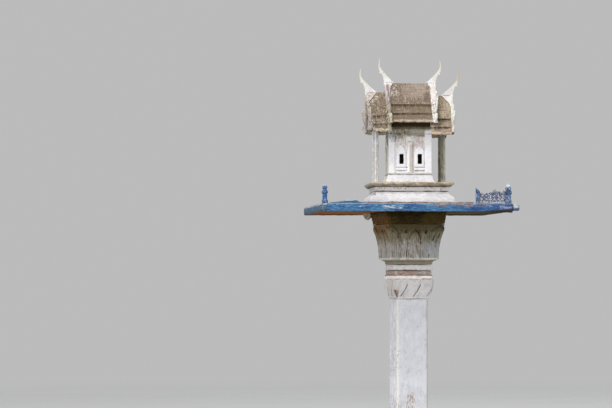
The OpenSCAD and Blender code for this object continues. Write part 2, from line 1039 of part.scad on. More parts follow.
// The horn's outline from the side, as [distance past the gable, height]: a
// wedge along the ridge, a small beak, and a neck that sweeps out and back in to
// its tip
function horn_outline(height, wedge, tip_x) = concat(
  [[0, 0]],
  bend([0, 4], [2, height * 0.22], [11, height * 0.38], 4),
  [[15, height * 0.36], [20, height * 0.40]],
  bend([19, height * 0.46], [31, height * 0.70], [tip_x + 2, height], 6),
  bend([tip_x, height], [21, height * 0.70], [11, height * 0.58], 5),
  bend([5, height * 0.50], [-wedge * 0.3, height * 0.26], [-wedge, 0], 5)
);

module horn(ridge_z, half_length, height, wedge, tip_x = 15) {
  foot = 6;
  tip = 2;
  translate([half_length, 0, ridge_z])
    intersection() {
      rotate([90, 0, 0])
        linear_extrude(height = 40, center = true)
          polygon(horn_outline(height, wedge, tip_x));
      rotate([90, 0, 90])
        linear_extrude(height = 200, center = true)
          polygon([[foot, 0], [foot, height * 0.3], [tip, height * 0.62], [tip, height],
            [-tip, height], [-tip, height * 0.62], [-foot, height * 0.3], [-foot, 0]]);
    }
}

module upper_front_horn() {
  color(white_paint)
    translate([upper_shift, 0, 0])
      mirror([1, 0, 0])
        horn(upper_ridge, upper_half, horn_h, upper_wedge);
}

module upper_back_horn() {
  color(white_paint)
    translate([upper_shift, 0, 0])
      horn(upper_ridge, upper_half, horn_h - 8, upper_wedge);
}

module lower_front_horn() {
  color(white_paint)
    mirror([1, 0, 0])
      horn(front_ridge, front_half, horn_h - 2, lower_wedge);
}

module lower_back_horn() {
  color(white_paint)
    horn(back_ridge, back_half, horn_h - 4, lower_wedge, 24);
}

foot_block();
foot_lotus();
foot_ring();
pillar_shaft();
pillar_collar();
neck_fillet();
neck_ring();
lotus_capital();
abacus();
tray_slab();
tray_rail_stub();
tray_corner_lump();
left_corner_post();
right_corner_post();
broken_fence_post();
fence_panel();
base_skirt();
base_waist();
base_deck();
wall_foot();
near_wall();
far_wall();
front_end_wall();
back_end_wall();
near_window_frames();
far_window_frames();
front_door_frame();
back_window_frame();
front_porch_posts();
back_porch_posts();
front_porch_beams();
back_porch_beams();
upper_roof();
front_porch_roof();
back_porch_roof();
front_porch_gable();
back_porch_gable();
upper_front_bargeboard();
upper_back_bargeboard();
lower_front_bargeboard();
lower_back_bargeboard();
upper_front_horn();
upper_back_horn();
lower_front_horn();
lower_back_horn();
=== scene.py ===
import math

import bmesh
import bpy
import numpy as np
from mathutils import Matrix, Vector, noise


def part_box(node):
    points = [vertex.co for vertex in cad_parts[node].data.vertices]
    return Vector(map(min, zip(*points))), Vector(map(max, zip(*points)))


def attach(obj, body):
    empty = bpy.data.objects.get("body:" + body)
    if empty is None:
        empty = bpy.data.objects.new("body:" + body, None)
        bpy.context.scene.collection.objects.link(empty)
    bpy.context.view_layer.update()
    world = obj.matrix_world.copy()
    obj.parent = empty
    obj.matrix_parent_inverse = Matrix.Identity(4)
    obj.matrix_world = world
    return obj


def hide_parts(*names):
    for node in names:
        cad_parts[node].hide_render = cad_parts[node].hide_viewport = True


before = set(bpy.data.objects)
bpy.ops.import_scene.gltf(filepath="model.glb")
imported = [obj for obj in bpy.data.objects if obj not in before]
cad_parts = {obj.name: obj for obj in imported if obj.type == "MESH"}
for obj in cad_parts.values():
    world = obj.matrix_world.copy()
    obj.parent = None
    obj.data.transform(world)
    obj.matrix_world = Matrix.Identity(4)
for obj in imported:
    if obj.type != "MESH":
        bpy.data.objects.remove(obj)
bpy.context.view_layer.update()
mm = 0.001

# Layout that the source of the solids shares with this script
pillarTurn = math.radians(8.5)
trayTurn = math.radians(1.5)
trayCentre = Vector((-0.015, 0, 0))
noTurn = 0.0
middle = Vector((0, 0, 0))

# What all finishes share
gloss = 0.14      # chalky, with hardly any shine
noises = {      # sizes in metres, except that each blot sets its own for the flecks
    "broad": {"size": 0.11, "detail": 3}, "grit": {"size": 0.0045, "detail": 5, "roughness": 0.7},
    "patch": {"size": 0.028, "detail": 6, "roughness": 0.62, "distortion": 0.4},
    "drip": {"size": 0.014, "roughness": 0.6}, "fleck": {"size": 1, "roughness": 0.68},
}
dripStretch = (1, 1, 0.09)
layers = {      # how much each noise ruffles a layer, where it starts to show and where it is full
    "shade": {"patch": 0.6, "from": 0.42, "to": 0.6}, "worn": {"from": 0.5, "to": 2.2},
    "bare": {"broad": 0.7, "grit": 0.5, "from": 0.86, "to": 0.92}, "cement": {"from": 0.35, "to": 0.65},
    "streak": {"patch": 0.5, "from": 0.52, "to": 0.74}, "lying": {"patch": 0.3, "from": 0.62, "to": 0.84},
    "rim": {"grit": 1.4, "from": 0.35, "to": 1.5}, "hollow": {"grit": 0.8, "from": 0.15, "to": 1.5},
    "carved": {"grit": 1.2, "from": 0.7, "to": 3.2}, "cover": {"grit": 0.4, "from": 0.5, "to": 0.62},
    "speck": {"patch": 0.7, "broad": 0.5, "from": 0.72, "to": 0.8}, "fleck": {"from": 0.47, "to": 0.53},
}
bareGain = 0.4      # how much earlier the cement shows in a finish that is wholly bare
fleckGain = 0.33      # how much earlier flecks show for what they cover over a half
fleckShift = (0.37, 0.21, 0.13)      # keeps the flecks of two blots from falling on each other
roughOf = {"paint": 0.78, "patch": 0.2, "bare": 0.14}
heightOf = {"grit": 0.5, "patch": 0.9, "bare": -0.5}      # what each adds to the bumps


# Wires and nodes

def sumOf(operation, flipped=False):
    # what a sign between a wire and a number or another wire does
    def apply(self, other):
        first, second = (other, self) if flipped else (self, other)
        return self.nodes.node("ShaderNodeMath", {"operation": operation}, {0: first, 1: second})
    return apply


class Wire:
    # one output of a node, which can stand in a sum
    def __init__(self, nodes, socket):
        self.nodes = nodes
        self.socket = socket

    __add__ = sumOf("ADD")
    __radd__ = sumOf("ADD", flipped=True)
    __sub__ = sumOf("SUBTRACT")
    __rsub__ = sumOf("SUBTRACT", flipped=True)
    __mul__ = sumOf("MULTIPLY")
    __rmul__ = sumOf("MULTIPLY", flipped=True)


class Nodes:
    # the nodes of a material or of the world
    def __init__(self, owner):
        self.owner = owner
        owner.use_nodes = True
        self.tree = owner.node_tree
        self.tree.nodes.clear()

    def node(self, kind, settings=None, sockets=None, output=0):
        made = self.tree.nodes.new(kind)
        for setting, value in (settings or {}).items():
            setattr(made, setting, value)
        for name, value in (sockets or {}).items():
            if isinstance(value, Wire):
                self.tree.links.new(value.socket, made.inputs[name])
            else:
                made.inputs[name].default_value = value
        return Wire(self, made.outputs[output]) if output is not None else None


class Finish(Nodes):
    # a material, in the frame of a piece that may have been turned
    def __init__(self, name, turn=noTurn):
        super().__init__(bpy.data.materials.new(name))
        whole = self.node("ShaderNodeTexCoord", output="Object")
        self.place = self.node("ShaderNodeMapping", None, {"Vector": whole, "Rotation": (0, 0, -turn)})
        self.across, self.deep, self.up = (
            self.node("ShaderNodeSeparateXYZ", None, {0: self.place}, output=axis) for axis in range(3))

    def step(self, value, low, high):
        # 0 below low, 1 above high, smooth between
        return self.node("ShaderNodeMapRange", {"interpolation_type": "SMOOTHSTEP"},
                         {"Value": value, "From Min": low, "From Max": high})

    def within(self, value, reach, soft):
        # 1 inside the two ends of reach, fading out over soft
        low, high = reach
        entered = self.step(value, low - soft / 2, low + soft / 2)
        left = self.step(value, high - soft / 2, high + soft / 2)
        return entered * (1 - left)

    def blend(self, share, first, second):
        return self.node("ShaderNodeMix", {"data_type": "RGBA"}, {0: share, 6: first, 7: second}, output=2)

    def stretched(self, scale):
        return self.node("ShaderNodeMapping", None, {"Vector": self.place, "Scale": scale})

    def cloud(self, size, detail=4, roughness=0.55, distortion=0, where=None):
        # soft noise round one half, with lumps of about the given size in metres
        return self.node("ShaderNodeTexNoise", None, {
            "Vector": where or self.place, "Scale": 1 / size, "Detail": detail,
            "Roughness": roughness, "Distortion": distortion,
        })

    def flecks(self, size, lean, place):
        # noise with lumps of a size of its own each way, in millimetres, leaning on the long faces
        where = self.node("ShaderNodeMapping", {"vector_type": "TEXTURE"}, {
            "Vector": self.place, "Rotation": (0, math.radians(lean), 0), "Location": place,
            "Scale": [part * mm for part in size],
        })
        return self.cloud(**noises["fleck"], where=where)

    def stored(self, name):
        # a number that the shaping has left at each point of the mesh
        return self.node("ShaderNodeAttribute", {"attribute_name": name}, output="Fac")

    def finished(self, colour, rough, height, bumpDepth):
        normal = self.node("ShaderNodeBump", None, {"Strength": 1, "Distance": bumpDepth, "Height": height})
        shader = self.node("ShaderNodeBsdfPrincipled", None, {
            "Base Color": colour, "Roughness": rough, "Normal": normal, "Specular IOR Level": gloss,
        })
        self.node("ShaderNodeOutputMaterial", None, {"Surface": shader}, output=None)
        return self.owner


def tone(red, green, blue):
    # a colour as a screen shows it, turned into the linear one that the renderer takes
    def linear(part):
        part = part / 255
        return part / 12.92 if part <= 0.04045 else ((part + 0.055) / 1.055) ** 2.4
    return (linear(red), linear(green), linear(blue), 1)


# Finishes

def like(look, **changes):
    # the same look with some of it changed, where three numbers in brackets are a colour as a screen shows it
    tones = {name: tone(*value) for name, value in changes.items() if isinstance(value, tuple)}
    return {**look, **changes, **tones}


farOff = 2000      # past every side of the house
openEnds = {"up": ("above", "below"), "across": ("rightOf", "leftOf"), "deep": ("behind", "before")}


def blot(colour, share, grain=None, amount=0.5, **reach):
    # a ragged patch of colour, in millimetres: the flecks it breaks up into, as wide and high or as wide,
    # deep and high, and how much they cover, or else a cover; how far it reaches up, across and deep; and how
    # soft, ragged and dripping its edge is
    if grain and len(grain) == 2:
        grain = (grain[0], *grain)
    for direction, (low, high) in openEnds.items():
        if low in reach or high in reach:
            reach[direction] = (reach.pop(low, -farOff), reach.pop(high, farOff))
    return {"colour": tone(*colour), "share": share, "grain": grain, "amount": amount, "lean": 0,
            "cover": None, "soft": 4, "ragged": 4, "drips": 0, **reach}


def masonry(name, look, blots=(), turn=noTurn):
    # painted cement that has stood in the rain: patchy paint, bare cement, streaks, blots, grime and mould,
    # with painted highlight on ridges and painted shade in hollows and grooves
    finish = Finish(name, turn)
    relief = finish.stored("relief")
    broad, patch, grit = (finish.cloud(**noises[wave]) for wave in ("broad", "patch", "grit"))
    drip = finish.cloud(**noises["drip"], where=finish.stretched(dripStretch))
    swings = {"broad": broad - 0.5, "patch": patch - 0.5, "grit": grit - 0.5}

    def layer(kind, value, extra=None, earlier=0):
        plan = layers[kind]
        for wave in plan:
            if wave in swings:
                value = value + swings[wave] * plan[wave]
        if extra:
            value = value + extra
        return finish.step(value, plan["from"] - earlier, plan["to"] - earlier)

    colour = finish.blend(layer("shade", broad), look["paint"], look["shade"])
    bare = layer("bare", patch, layer("worn", relief) * look["edgeWear"], bareGain * look["bare"])
    cement = finish.blend(layer("cement", grit), look["cement"], look["cementShade"])
    colour = finish.blend(bare, colour, cement)
    colour = finish.blend(layer("streak", drip) * look["streaks"], colour, look["dirt"])
    normal = finish.node("ShaderNodeNewGeometry", output="Normal")
    upward = finish.node("ShaderNodeSeparateXYZ", None, {0: normal}, output=2)
    colour = finish.blend(layer("lying", upward) * look["settled"], colour, look["settledColour"])
    # lighter on ridges and edges: painted highlight
    colour = finish.blend(layer("rim", relief) * look["rim"], colour, look["rimColour"])
    for count, spot in enumerate(blots):
        loose = swings["patch"] * (spot["ragged"] * mm)
        share = spot["share"]
        for axis, direction in ((finish.up, "up"), (finish.across, "across"), (finish.deep, "deep")):
            if direction in spot:
                place = axis + loose
                if direction == "up" and spot["drips"]:
                    place = place + (drip - 0.5) * (spot["drips"] * mm)
                share = share * finish.within(place, [end * mm for end in spot[direction]], spot["soft"] * mm)
        if spot["cover"] is not None:
            share = share * layer("cover", patch, earlier=spot["cover"])
        if spot["grain"]:
            fleck = finish.flecks(spot["grain"], spot["lean"], [shift * count for shift in fleckShift])
            share = share * layer("fleck", fleck, earlier=fleckGain * (spot["amount"] - 0.5))
        colour = finish.blend(share, colour, spot["colour"])
    # darker in the hollows: dirt, deepened with painted shade
    colour = finish.blend(layer("hollow", 0 - relief) * look["grime"], colour, look["dirt"])
    # darker in the carved grooves: painted shade
    carved = layer("carved", finish.stored("carved"), swings["patch"] * look["broken"])
    colour = finish.blend(carved * look["scoring"], colour, look["soot"])
    colour = finish.blend(layer("speck", grit) * look["mould"], colour, look["mouldColour"])
    for hidden in look["dark"]:
        # the unlit inside of the room
        share = finish.within(finish.across, hidden["across"], hidden["soft"])
        share = share * finish.within(finish.deep, hidden["deep"], hidden["soft"])
        colour = finish.blend(share, colour, hidden["colour"])
    rough = roughOf["paint"] + swings["patch"] * roughOf["patch"] + bare * roughOf["bare"]
    height = grit * heightOf["grit"] + patch * heightOf["patch"] + bare * heightOf["bare"]
    return finish.finished(colour, rough, height, look["bump"] * mm)


# Shapes

def rowsOf(items, name, width=3, kind=float):
    # what is stored for each vertex or edge, a row for each
    flat = np.empty(len(items) * width, dtype=kind)
    items.foreach_get(name, flat)
    return flat.reshape(-1, width)


def averaged(points, edges, rounds):
    # each round moves every point halfway to the middle of its neighbours
    count = np.bincount(edges.ravel(), minlength=len(points))
    for turn in range(rounds):
        sums = [np.bincount(edges[:, 0], points[edges[:, 1], axis], len(points))
                + np.bincount(edges[:, 1], points[edges[:, 0], axis], len(points)) for axis in range(3)]
        points = (points + np.stack(sums, axis=1) / count[:, None]) / 2
    return points


def smoothStep(value, low, high):
    share = np.clip((value - low) / (high - low), 0, 1)
    return share * share * (3 - 2 * share)


def cloud(points, size, seed):
    # soft noise round zero at each point, with lumps of the given size
    shift = Vector((1.71, 2.93, 4.37)) * seed
    return np.array([noise.fractal(Vector(point) / size + shift, 1, 2, 3) for point in points])


def newPiece(name, vertices, faces):
    mesh = bpy.data.meshes.new(name)
    mesh.from_pydata([tuple(vertex) for vertex in vertices], [], faces)
    mesh.shade_smooth()
    piece = bpy.data.objects.new(name, mesh)
    bpy.context.scene.collection.objects.link(piece)
    return piece


def settled(piece):
    # the piece with its modifiers worked into its mesh
    shape = bpy.data.meshes.new_from_object(piece.evaluated_get(bpy.context.evaluated_depsgraph_get()))
    piece.modifiers.clear()
    piece.data = shape
    return piece


def turned(points, angle):
    c, s = math.cos(angle), math.sin(angle)
    x, y, z = points.T
    return np.stack([x * c - y * s, x * s + y * c, z], 1)


def squared(points, look):
    # the points as they lie along the piece's own sides
    return turned(points - np.array(look["centre"]), -look["turn"])


def levelsOf(node, look):
    # what a moulding measures at each of its levels: half length, half depth, height; the floor of a recess
    # in its underside isn't one of them
    points = squared(rowsOf(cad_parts[node].data.vertices, "co"), look)
    heights = np.round(points[:, 2], 5)
    floor = round(heights.min() + look.get("recess", 0) * mm, 5)
    return [(abs(points[heights == height, 0]).max(), abs(points[heights == height, 1]).max(), height)
            for height in sorted(set(heights)) if height != floor or "recess" not in look]


def ringed(name, node, look):
    # a moulding built of close rings, with wider ones towards the middle of its top and bottom
    levels = levelsOf(node, look)
    grid = look["grid"] * mm
    rings = [levels[0]]
    for low, high in zip(levels, levels[1:]):
        count = max(1, round(math.dist(low, high) / grid))
        rings += [tuple(a + (b - a) * part / count for a, b in zip(low, high))
                  for part in range(1, count + 1)]
    insets = [inset * mm for inset in look["insets"]]
    raised = [look["recess"] * mm if "recess" in look and inset > look["rimWidth"] * mm else 0
              for inset in insets]
    under = [(levels[0][0] - inset, levels[0][1] - inset, levels[0][2] + rise)
             for inset, rise in reversed(list(zip(insets, raised)))]
    over = [(levels[-1][0] - inset, levels[-1][1] - inset, levels[-1][2]) for inset in insets]
    rings = under + rings + over
    alongCount = round(2 * max(ring[0] for ring in rings) / grid)
    deepCount = round(2 * max(ring[1] for ring in rings) / grid)
    reach = 1 - look["bevel"]
    along = np.linspace(-reach, reach, alongCount + 1)
    deep = np.linspace(-reach, reach, deepCount + 1)
    if look["bevel"] == 0:
        along, deep = along[:-1], deep[:-1]
    outline = [(x, -1) for x in along] + [(1, y) for y in deep]
    outline += [(-x, 1) for x in along] + [(-1, -y) for y in deep]
    vertices = np.array([(x * ring[0], y * ring[1], ring[2]) for ring in rings for x, y in outline])
    vertices = turned(vertices, look["turn"]) + np.array(look["centre"])
    size = len(outline)
    last = (len(rings) - 1) * size
    faces = [(low + i, low + (i + 1) % size, low + size + (i + 1) % size, low + size + i)
             for low in range(0, last, size) for i in range(size)]
    faces.append(tuple(reversed(range(size))))
    faces.append(tuple(range(last, last + size)))
    return newPiece(name, vertices, faces)


def recast(name, node, look):
    # one even skin over a solid, with a point about every grid step
    skin = bmesh.new()
    skin.from_mesh(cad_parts[node].data)
    bmesh.ops.remove_doubles(skin, verts=skin.verts, dist=0.01 * mm)
    piece = newPiece(name, [], [])
    skin.to_mesh(piece.data)
    skin.free()
    remesh = piece.modifiers.new("skin", "REMESH")
    remesh.mode = "VOXEL"
    remesh.voxel_size = look["grid"] * mm
    remesh.use_smooth_shade = True
    return settled(piece)


wearRounds = 4      # of smoothing in a chip, for each that softens the edges, and as many again
reliefRounds = 8
chipLimits = (0.42, 0.5)      # how high the noise is where a chip starts and where it is whole
lumpCore = 0.25      # the share of a lump's reach that stands at its full height


def weather(piece, look, carve=None):
    # carves, softens the edges, knocks chips out of them, dents the faces and crusts them over
    mesh = piece.data
    points, normals = rowsOf(mesh.vertices, "co"), rowsOf(mesh.vertex_normals, "vector")
    edges = rowsOf(mesh.edges, "vertices", 2, np.int32)
    if carve:
        moves = carve(points, normals)
        points = points + moves
        depths = np.linalg.norm(moves, axis=1) / mm
        mesh.attributes.new("carved", "FLOAT", "POINT").data.foreach_set("value", depths)
    soft = averaged(points, edges, look["soften"])
    worn = averaged(soft, edges, (look["soften"] + 1) * wearRounds)
    broken = cloud(points, look["chipSize"] * mm, look["seed"])
    chips = smoothStep(broken, *(limit - look["chips"] for limit in chipLimits))
    points = soft + (worn - soft) * chips[:, None]
    dents = np.clip(0.5 + cloud(points, look["dentSize"] * mm, look["seed"] + 1), 0, 1) * look["dents"] * mm
    crust = np.clip(cloud(points, look["crustSize"] * mm, look["seed"] + 2), 0, 1) * look["crust"] * mm
    points = points + normals * (crust - dents)[:, None]
    for lump in look.get("lumps", []):
        away = np.linalg.norm(points - np.array(lump["place"]) * mm, axis=1) / mm
        rise = lump["high"] * mm * (1 - smoothStep(away, lump["wide"] * lumpCore, lump["wide"]))
        points = points + normals * rise[:, None]
    for bend in look.get("bends", []):
        points[:, 0] += bend["out"] * mm * smoothStep(points[:, 1] / mm, bend["from"], bend["to"])
    mesh.vertices.foreach_set("co", points.ravel())
    mesh.update()
    proud = points - averaged(points, edges, reliefRounds)
    relief = (proud * rowsOf(mesh.vertex_normals, "vector")).sum(axis=1) / mm
    mesh.attributes.new("relief", "FLOAT", "POINT").data.foreach_set("value", relief)
    return piece


strokeEdge = (0.2, 0.65)      # the shares of a stroke's width where it starts to rise and where it ends


def depthOf(across, up, strokes):
    # how deep a drawing of strokes cuts at each point of a flat face; all in millimetres
    depth = np.zeros(len(across))
    for stroke in strokes:
        for (x0, y0), (x1, y1) in zip(stroke["line"], stroke["line"][1:]):
            length = max((x1 - x0) ** 2 + (y1 - y0) ** 2, 1e-9)
            share = np.clip(((across - x0) * (x1 - x0) + (up - y0) * (y1 - y0)) / length, 0, 1)
            away = np.hypot(across - x0 - share * (x1 - x0), up - y0 - share * (y1 - y0))
            rise = smoothStep(away, *(stroke["wide"] * part for part in strokeEdge))
            depth = np.maximum(depth, stroke["deep"] * (1 - rise))
    return depth


def stroke(line, wide, deep):
    return {"line": line, "wide": wide, "deep": deep}


def lump(place, wide, high):
    return {"place": place, "wide": wide, "high": high}


def onFaces(points, look):
    # for work on a square pillar: the distance along the face and the way out
    x, y = squared(points, look)[:, :2].T
    east = abs(x) >= abs(y)
    along = np.where(east, y * np.sign(x), -x * np.sign(y))
    way = np.stack([np.where(east, np.sign(x), 0), np.where(east, 0, np.sign(y)), np.zeros(len(x))], 1)
    return along, turned(way, look["turn"])


built = []


def made(piece, node, slot, finish):
    # the piece gets its finish and takes the place of its solid
    piece.data.materials.clear()
    piece.data.materials.append(finish)
    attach(piece, "root")
    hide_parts(node)
    built.append(piece)
    return piece


def cast(name, node, slot, finish, look, carve=None):
    build = ringed if "insets" in look else recast
    return made(weather(build(name, node, look), look, carve), node, slot, finish)


def report(stage):
    faces = sum(len(polygon.vertices) - 2 for piece in built for polygon in piece.data.polygons)
    print(f"{stage}: {len(built)} pieces, {faces} triangles so far")


roughCast = {
    "turn": noTurn, "centre": middle, "bevel": 0,
    "soften": 1, "chips": 0.08, "chipSize": 24, "dents": 0.8, "dentSize": 30, "crust": 0, "crustSize": 8,
}

whitewash = like(
    {}, paint=(222, 221, 224), shade=(204, 202, 202), bare=0.2, edgeWear=0.15, cement=(150, 140, 126),
    cementShade=(112, 102, 88), dirt=(104, 96, 82), streaks=0.25, grime=0.7, dark=[], settled=0,
    settledColour=(104, 90, 74), rim=0.3, rimColour=(230, 228, 226), scoring=0.9, soot=(48, 40, 32), broken=0,
    mould=0.5, mouldColour=(60, 55, 46), bump=0.8,
)


# Pillar

pillar = like(roughCast, turn=pillarTurn, insets=[4, 12, 30])
solidPillar = like(roughCast, turn=pillarTurn)
shaftLook = like(
    whitewash, paint=(216, 216, 222), shade=(207, 208, 214), bare=0, streaks=0.12, grime=0.3, mould=0.6,
    rim=0.4, rimColour=(224, 218, 205),
)
shaftFinish = masonry("shaftWhitewash", shaftLook, [
    # the left face lighter, a lilac white: painted light on that side
    blot((246, 244, 254), 0.85, (8, 60), 0.8, leftOf=-71, soft=2, ragged=3),
    blot((158, 134, 110), 0.75, (8, 18), up=(322, 414), across=(-28, 10), soft=12, ragged=24),
    blot((96, 84, 80), 0.8, (3.5, 4), 0.2, up=(496, 522), across=(-20, 2), soft=5),
    blot((64, 54, 52), 0.9, (6, 9), 0.22, up=(476, 604), leftOf=-60, soft=16, ragged=10),
    blot((124, 102, 84), 0.8, (7, 16), 0.34, up=(300, 396), leftOf=-56, soft=16, ragged=16),
    blot((170, 163, 148), 0.5, below=300, soft=100, ragged=120, drips=100),
    blot((188, 186, 188), 0.5, (9, 26), 0.2),
    blot((226, 225, 230), 0.5, (14, 40), 0.25),
    blot((128, 118, 104), 0.7, (3.4, 5), 0.04),
    blot((226, 221, 210), 0.5, (12, 60), 0.6, across=(-74, -66), before=-62, ragged=6),
], pillarTurn)
shaftHalf = levelsOf("pillar_shaft", pillar)[0][0]
shaft = like(pillar, bevel=6 * mm / shaftHalf, grid=5.4, chips=0.04, chipSize=32, dents=1.2, seed=3)
cast("shaft", "pillar_shaft", "white_paint", shaftFinish, shaft)

footLook = like(whitewash, bare=0.45, streaks=0.4)
footFinish = masonry("footWhitewash", footLook, [
    blot((112, 100, 78), 0.75, below=80, soft=120, ragged=50, drips=80),
    blot((176, 172, 164), 0.5, (12, 18), 0.3),
    blot((84, 96, 60), 0.5, (16, 10), 0.35, below=60, soft=40, ragged=40),
], pillarTurn)
cast("footBlock", "foot_block", "grey_paint", footFinish, like(pillar, grid=5, chips=0.2, seed=4))
cast("footRing", "foot_ring", "grey_paint", footFinish, like(pillar, grid=3, seed=5))
cast("footLotus", "foot_lotus", "grey_paint", footFinish, like(solidPillar, grid=4.2, seed=6))

# The collar's petals have a line cut down one side each, darkened with painted shade, and one corner has a
# hole knocked in it
petalPitch = 59
petalFacing = (0.2, 0.6)      # how squarely a spot has to look out of its face to be cut
collarLines = [stroke([(-90, 0), (90, 0)], 3, 2), stroke([(-86, 36), (-74, 10)], 15, 3.4)]
for petal, deep in ((-petalPitch, 4), (0, 4), (petalPitch, 2)):
    collarLines += [
        stroke([(petal + 4, 12), (petal + 20, 36), (petal + 32, 62)], 4.5, deep),
        stroke([(petal - 2, 12), (petal - 18, 40), (petal - 29, 70)], 4, 1),
    ]


def carveFaces(node, lines):
    # cuts the same drawing into all four faces, up from the foot of the node
    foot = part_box(node)[0][2]

    def carve(points, normals):
        along, way = onFaces(points, solidPillar)
        facing = smoothStep((normals * way).sum(axis=1), *petalFacing)
        depth = depthOf(along / mm, (points[:, 2] - foot) / mm, lines)
        return -way * (depth * facing * mm)[:, None]
    return carve


neckLook = like(
    whitewash, paint=(214, 211, 212), shade=(200, 196, 198), bare=0.12, streaks=0.15, mould=0.3,
    soot=(92, 80, 68), broken=4, rim=0.5, scoring=0.8,
)
neckFinish = masonry("neckPlaster", neckLook, [
    blot((178, 172, 176), 0.5, (8, 12), 0.3),
    blot((230, 226, 224), 0.6, (9, 5), 0.25),
    blot((252, 247, 243), 0.9, up=(904, 922), ragged=5),
    blot((152, 140, 132), 0.85, up=(921, 946), soft=3, ragged=9),
    blot((166, 116, 100), 0.75, (20, 7), 0.52, up=(922, 946), across=(-88, 10), soft=12, ragged=40),
    blot((204, 196, 188), 0.7, (16, 6), 0.3, up=(922, 948), ragged=10),
    # darker lines along the top and bottom of the groove: painted shade
    blot((112, 88, 72), 0.6, (26, 6), 0.55, up=(938, 947), soft=3, ragged=5),
    blot((116, 96, 80), 0.6, (26, 6), up=(920, 926), soft=3, ragged=5),
    blot((208, 176, 156), 0.45, (16, 8), 0.3, up=(897, 924), ragged=8),
    blot((124, 100, 70), 0.85, up=(828, 860), across=(-91, -67), before=-72, soft=7, ragged=12, cover=0.3),
    blot((216, 202, 184), 0.35, (10, 10), 0.4, up=(826, 900), across=(-110, -30), soft=20, ragged=20),
], pillarTurn)
knocked = {"dents": 1.8, "dentSize": 16, "chips": 0.36, "chipSize": 15, "soften": 2}
cast("collar", "pillar_collar", "grey_paint", neckFinish, like(solidPillar, grid=2.5, seed=7),
     carveFaces("pillar_collar", collarLines))
cast("neckFillet", "neck_fillet", "grey_paint", neckFinish, like(pillar, grid=2.5, seed=8, **knocked))
cast("neckRing", "neck_ring", "grey_paint", neckFinish, like(pillar, grid=2.5, seed=9, **knocked))

# The capital's petals are fluted, with pits between their tips
capitalLines = [
    stroke([(1, 150), (8, 147), (15, 139), (20, 128)], 5, 5),
    stroke([(20, 128), (24, 112), (25, 88), (25.5, 30)], 3.6, 2.6),
    stroke([(-2, 149), (-12, 142), (-20, 126), (-25, 100), (-26, 30)], 3.4, 1.2),
    stroke([(-42, 146), (-41, 140)], 10, 6), stroke([(50, 146), (49, 139)], 12, 8),
    stroke([(-18, 142), (-14, 128), (-10, 142)], 6, 2), stroke([(-77, 132), (-75, 118)], 12, 2.4),
    stroke([(79, 106), (88, 126)], 5, 5), stroke([(104, 116), (109, 134)], 5, 4),
    stroke([(-52, 34), (-50, 128)], 3.6, 1.8), stroke([(-35, 66), (-36, 34)], 4.5, 3.4),
    stroke([(-64, 30), (-66, 140)], 3.4, 1.5), stroke([(64, 30), (65, 136)], 3.6, 1.6),
]
ribs = [
    (-100, 130), (-92, 120), (-82, 150), (-72, 126), (-58, 132), (-44, 116), (-33, 138), (-20, 96),
    (-12, 110), (-4, 124), (5, 118), (13, 104), (34, 118), (44, 128), (52, 110), (57, 134), (74, 146),
    (82, 122), (90, 100), (97, 140),
]
capitalLines += [stroke([(rib, 30), (rib + 1, height)], 4.2, 1.7) for rib, height in ribs]

capitalLook = like(
    whitewash, paint=(182, 177, 173), shade=(158, 153, 147), bare=0.3, streaks=0.5, grime=0.9,
    cement=(154, 145, 130), cementShade=(116, 106, 88), soot=(58, 42, 34), broken=4, scoring=0.85,
    rim=0.6, rimColour=(204, 200, 192), dirt=(92, 80, 60),
)
capitalFinish = masonry("capitalCement", capitalLook, [
    blot((124, 116, 100), 0.5, (3.4, 46), 0.42, up=(1000, 1150), soft=20, ragged=20),
    blot((206, 202, 196), 0.5, (3.4, 40), 0.3, up=(996, 1110), soft=20, ragged=20),
    blot((152, 158, 164), 0.6, up=(1000, 1095), across=(44, 140), before=0, soft=16, ragged=30, cover=0.2),
    blot((122, 114, 94), 0.85, up=(900, 989), soft=3, ragged=3),
    blot((150, 136, 112), 0.5, (18, 5), 0.4, up=(900, 989), soft=3),
    blot((212, 208, 204), 0.75, (26, 8), 0.7, up=(990, 999), ragged=5),
    # darker towards the top: a brown stain that drips down, with painted shade under the tray
    blot((104, 96, 64), 0.75, above=1066, soft=40, ragged=30, drips=90),
    blot((70, 59, 28), 0.8, above=1108, soft=30, ragged=30, drips=50),
    blot((146, 110, 66), 0.5, up=(1040, 1150), leftOf=-122, soft=30, ragged=20, drips=40, cover=0.14),
    blot((146, 104, 56), 0.6, (8, 30), above=1070, leftOf=-122, soft=24, ragged=20),
    blot((160, 150, 128), 0.5, (3.6, 30), 0.25, up=(1040, 1130), soft=12, ragged=20),
    blot((74, 48, 36), 0.8, (7, 20), 0.6, up=(1060, 1128), across=(14, 29), before=0, ragged=3),
    blot((68, 96, 92), 0.5, (6, 14), 0.3, up=(1030, 1125), across=(36, 60), before=0, soft=8, ragged=12),
], pillarTurn)
# the abacus, right under the tray: a dark brown stain with painted shade
abacusLook = like(
    capitalLook, paint=(66, 54, 20), shade=(44, 34, 10), cement=(92, 74, 34), cementShade=(52, 42, 16),
    dirt=(34, 24, 8), rim=0.3, rimColour=(116, 96, 50),
)
abacusFinish = masonry("abacusCement", abacusLook, [
    blot((124, 78, 18), 0.6, (14, 24), 0.6, leftOf=-118, soft=14, ragged=20),
    blot((92, 72, 36), 0.5, (20, 9), 0.35),
    # darkest along the top, under the tray: painted shade
    blot((26, 16, 10), 0.6, (40, 8), 0.6, above=1180, leftOf=40, soft=8, ragged=8),
    # the far-left corner paler: painted light on it
    blot((192, 180, 160), 0.85, leftOf=-142, behind=120, soft=8, ragged=10, cover=0.3),
    blot((110, 84, 52), 0.6, (9, 14), 0.35, leftOf=-142, behind=120, soft=8),
], pillarTurn)
cast("capital", "lotus_capital", "bare_cement", capitalFinish,
     like(solidPillar, grid=2.5, seed=10, dentSize=14), carveFaces("lotus_capital", capitalLines))
cast("abacusSlab", "abacus", "bare_cement", abacusFinish, like(solidPillar, grid=4, seed=11, chips=0.2))
report("Pillar")


# Tray and its fence

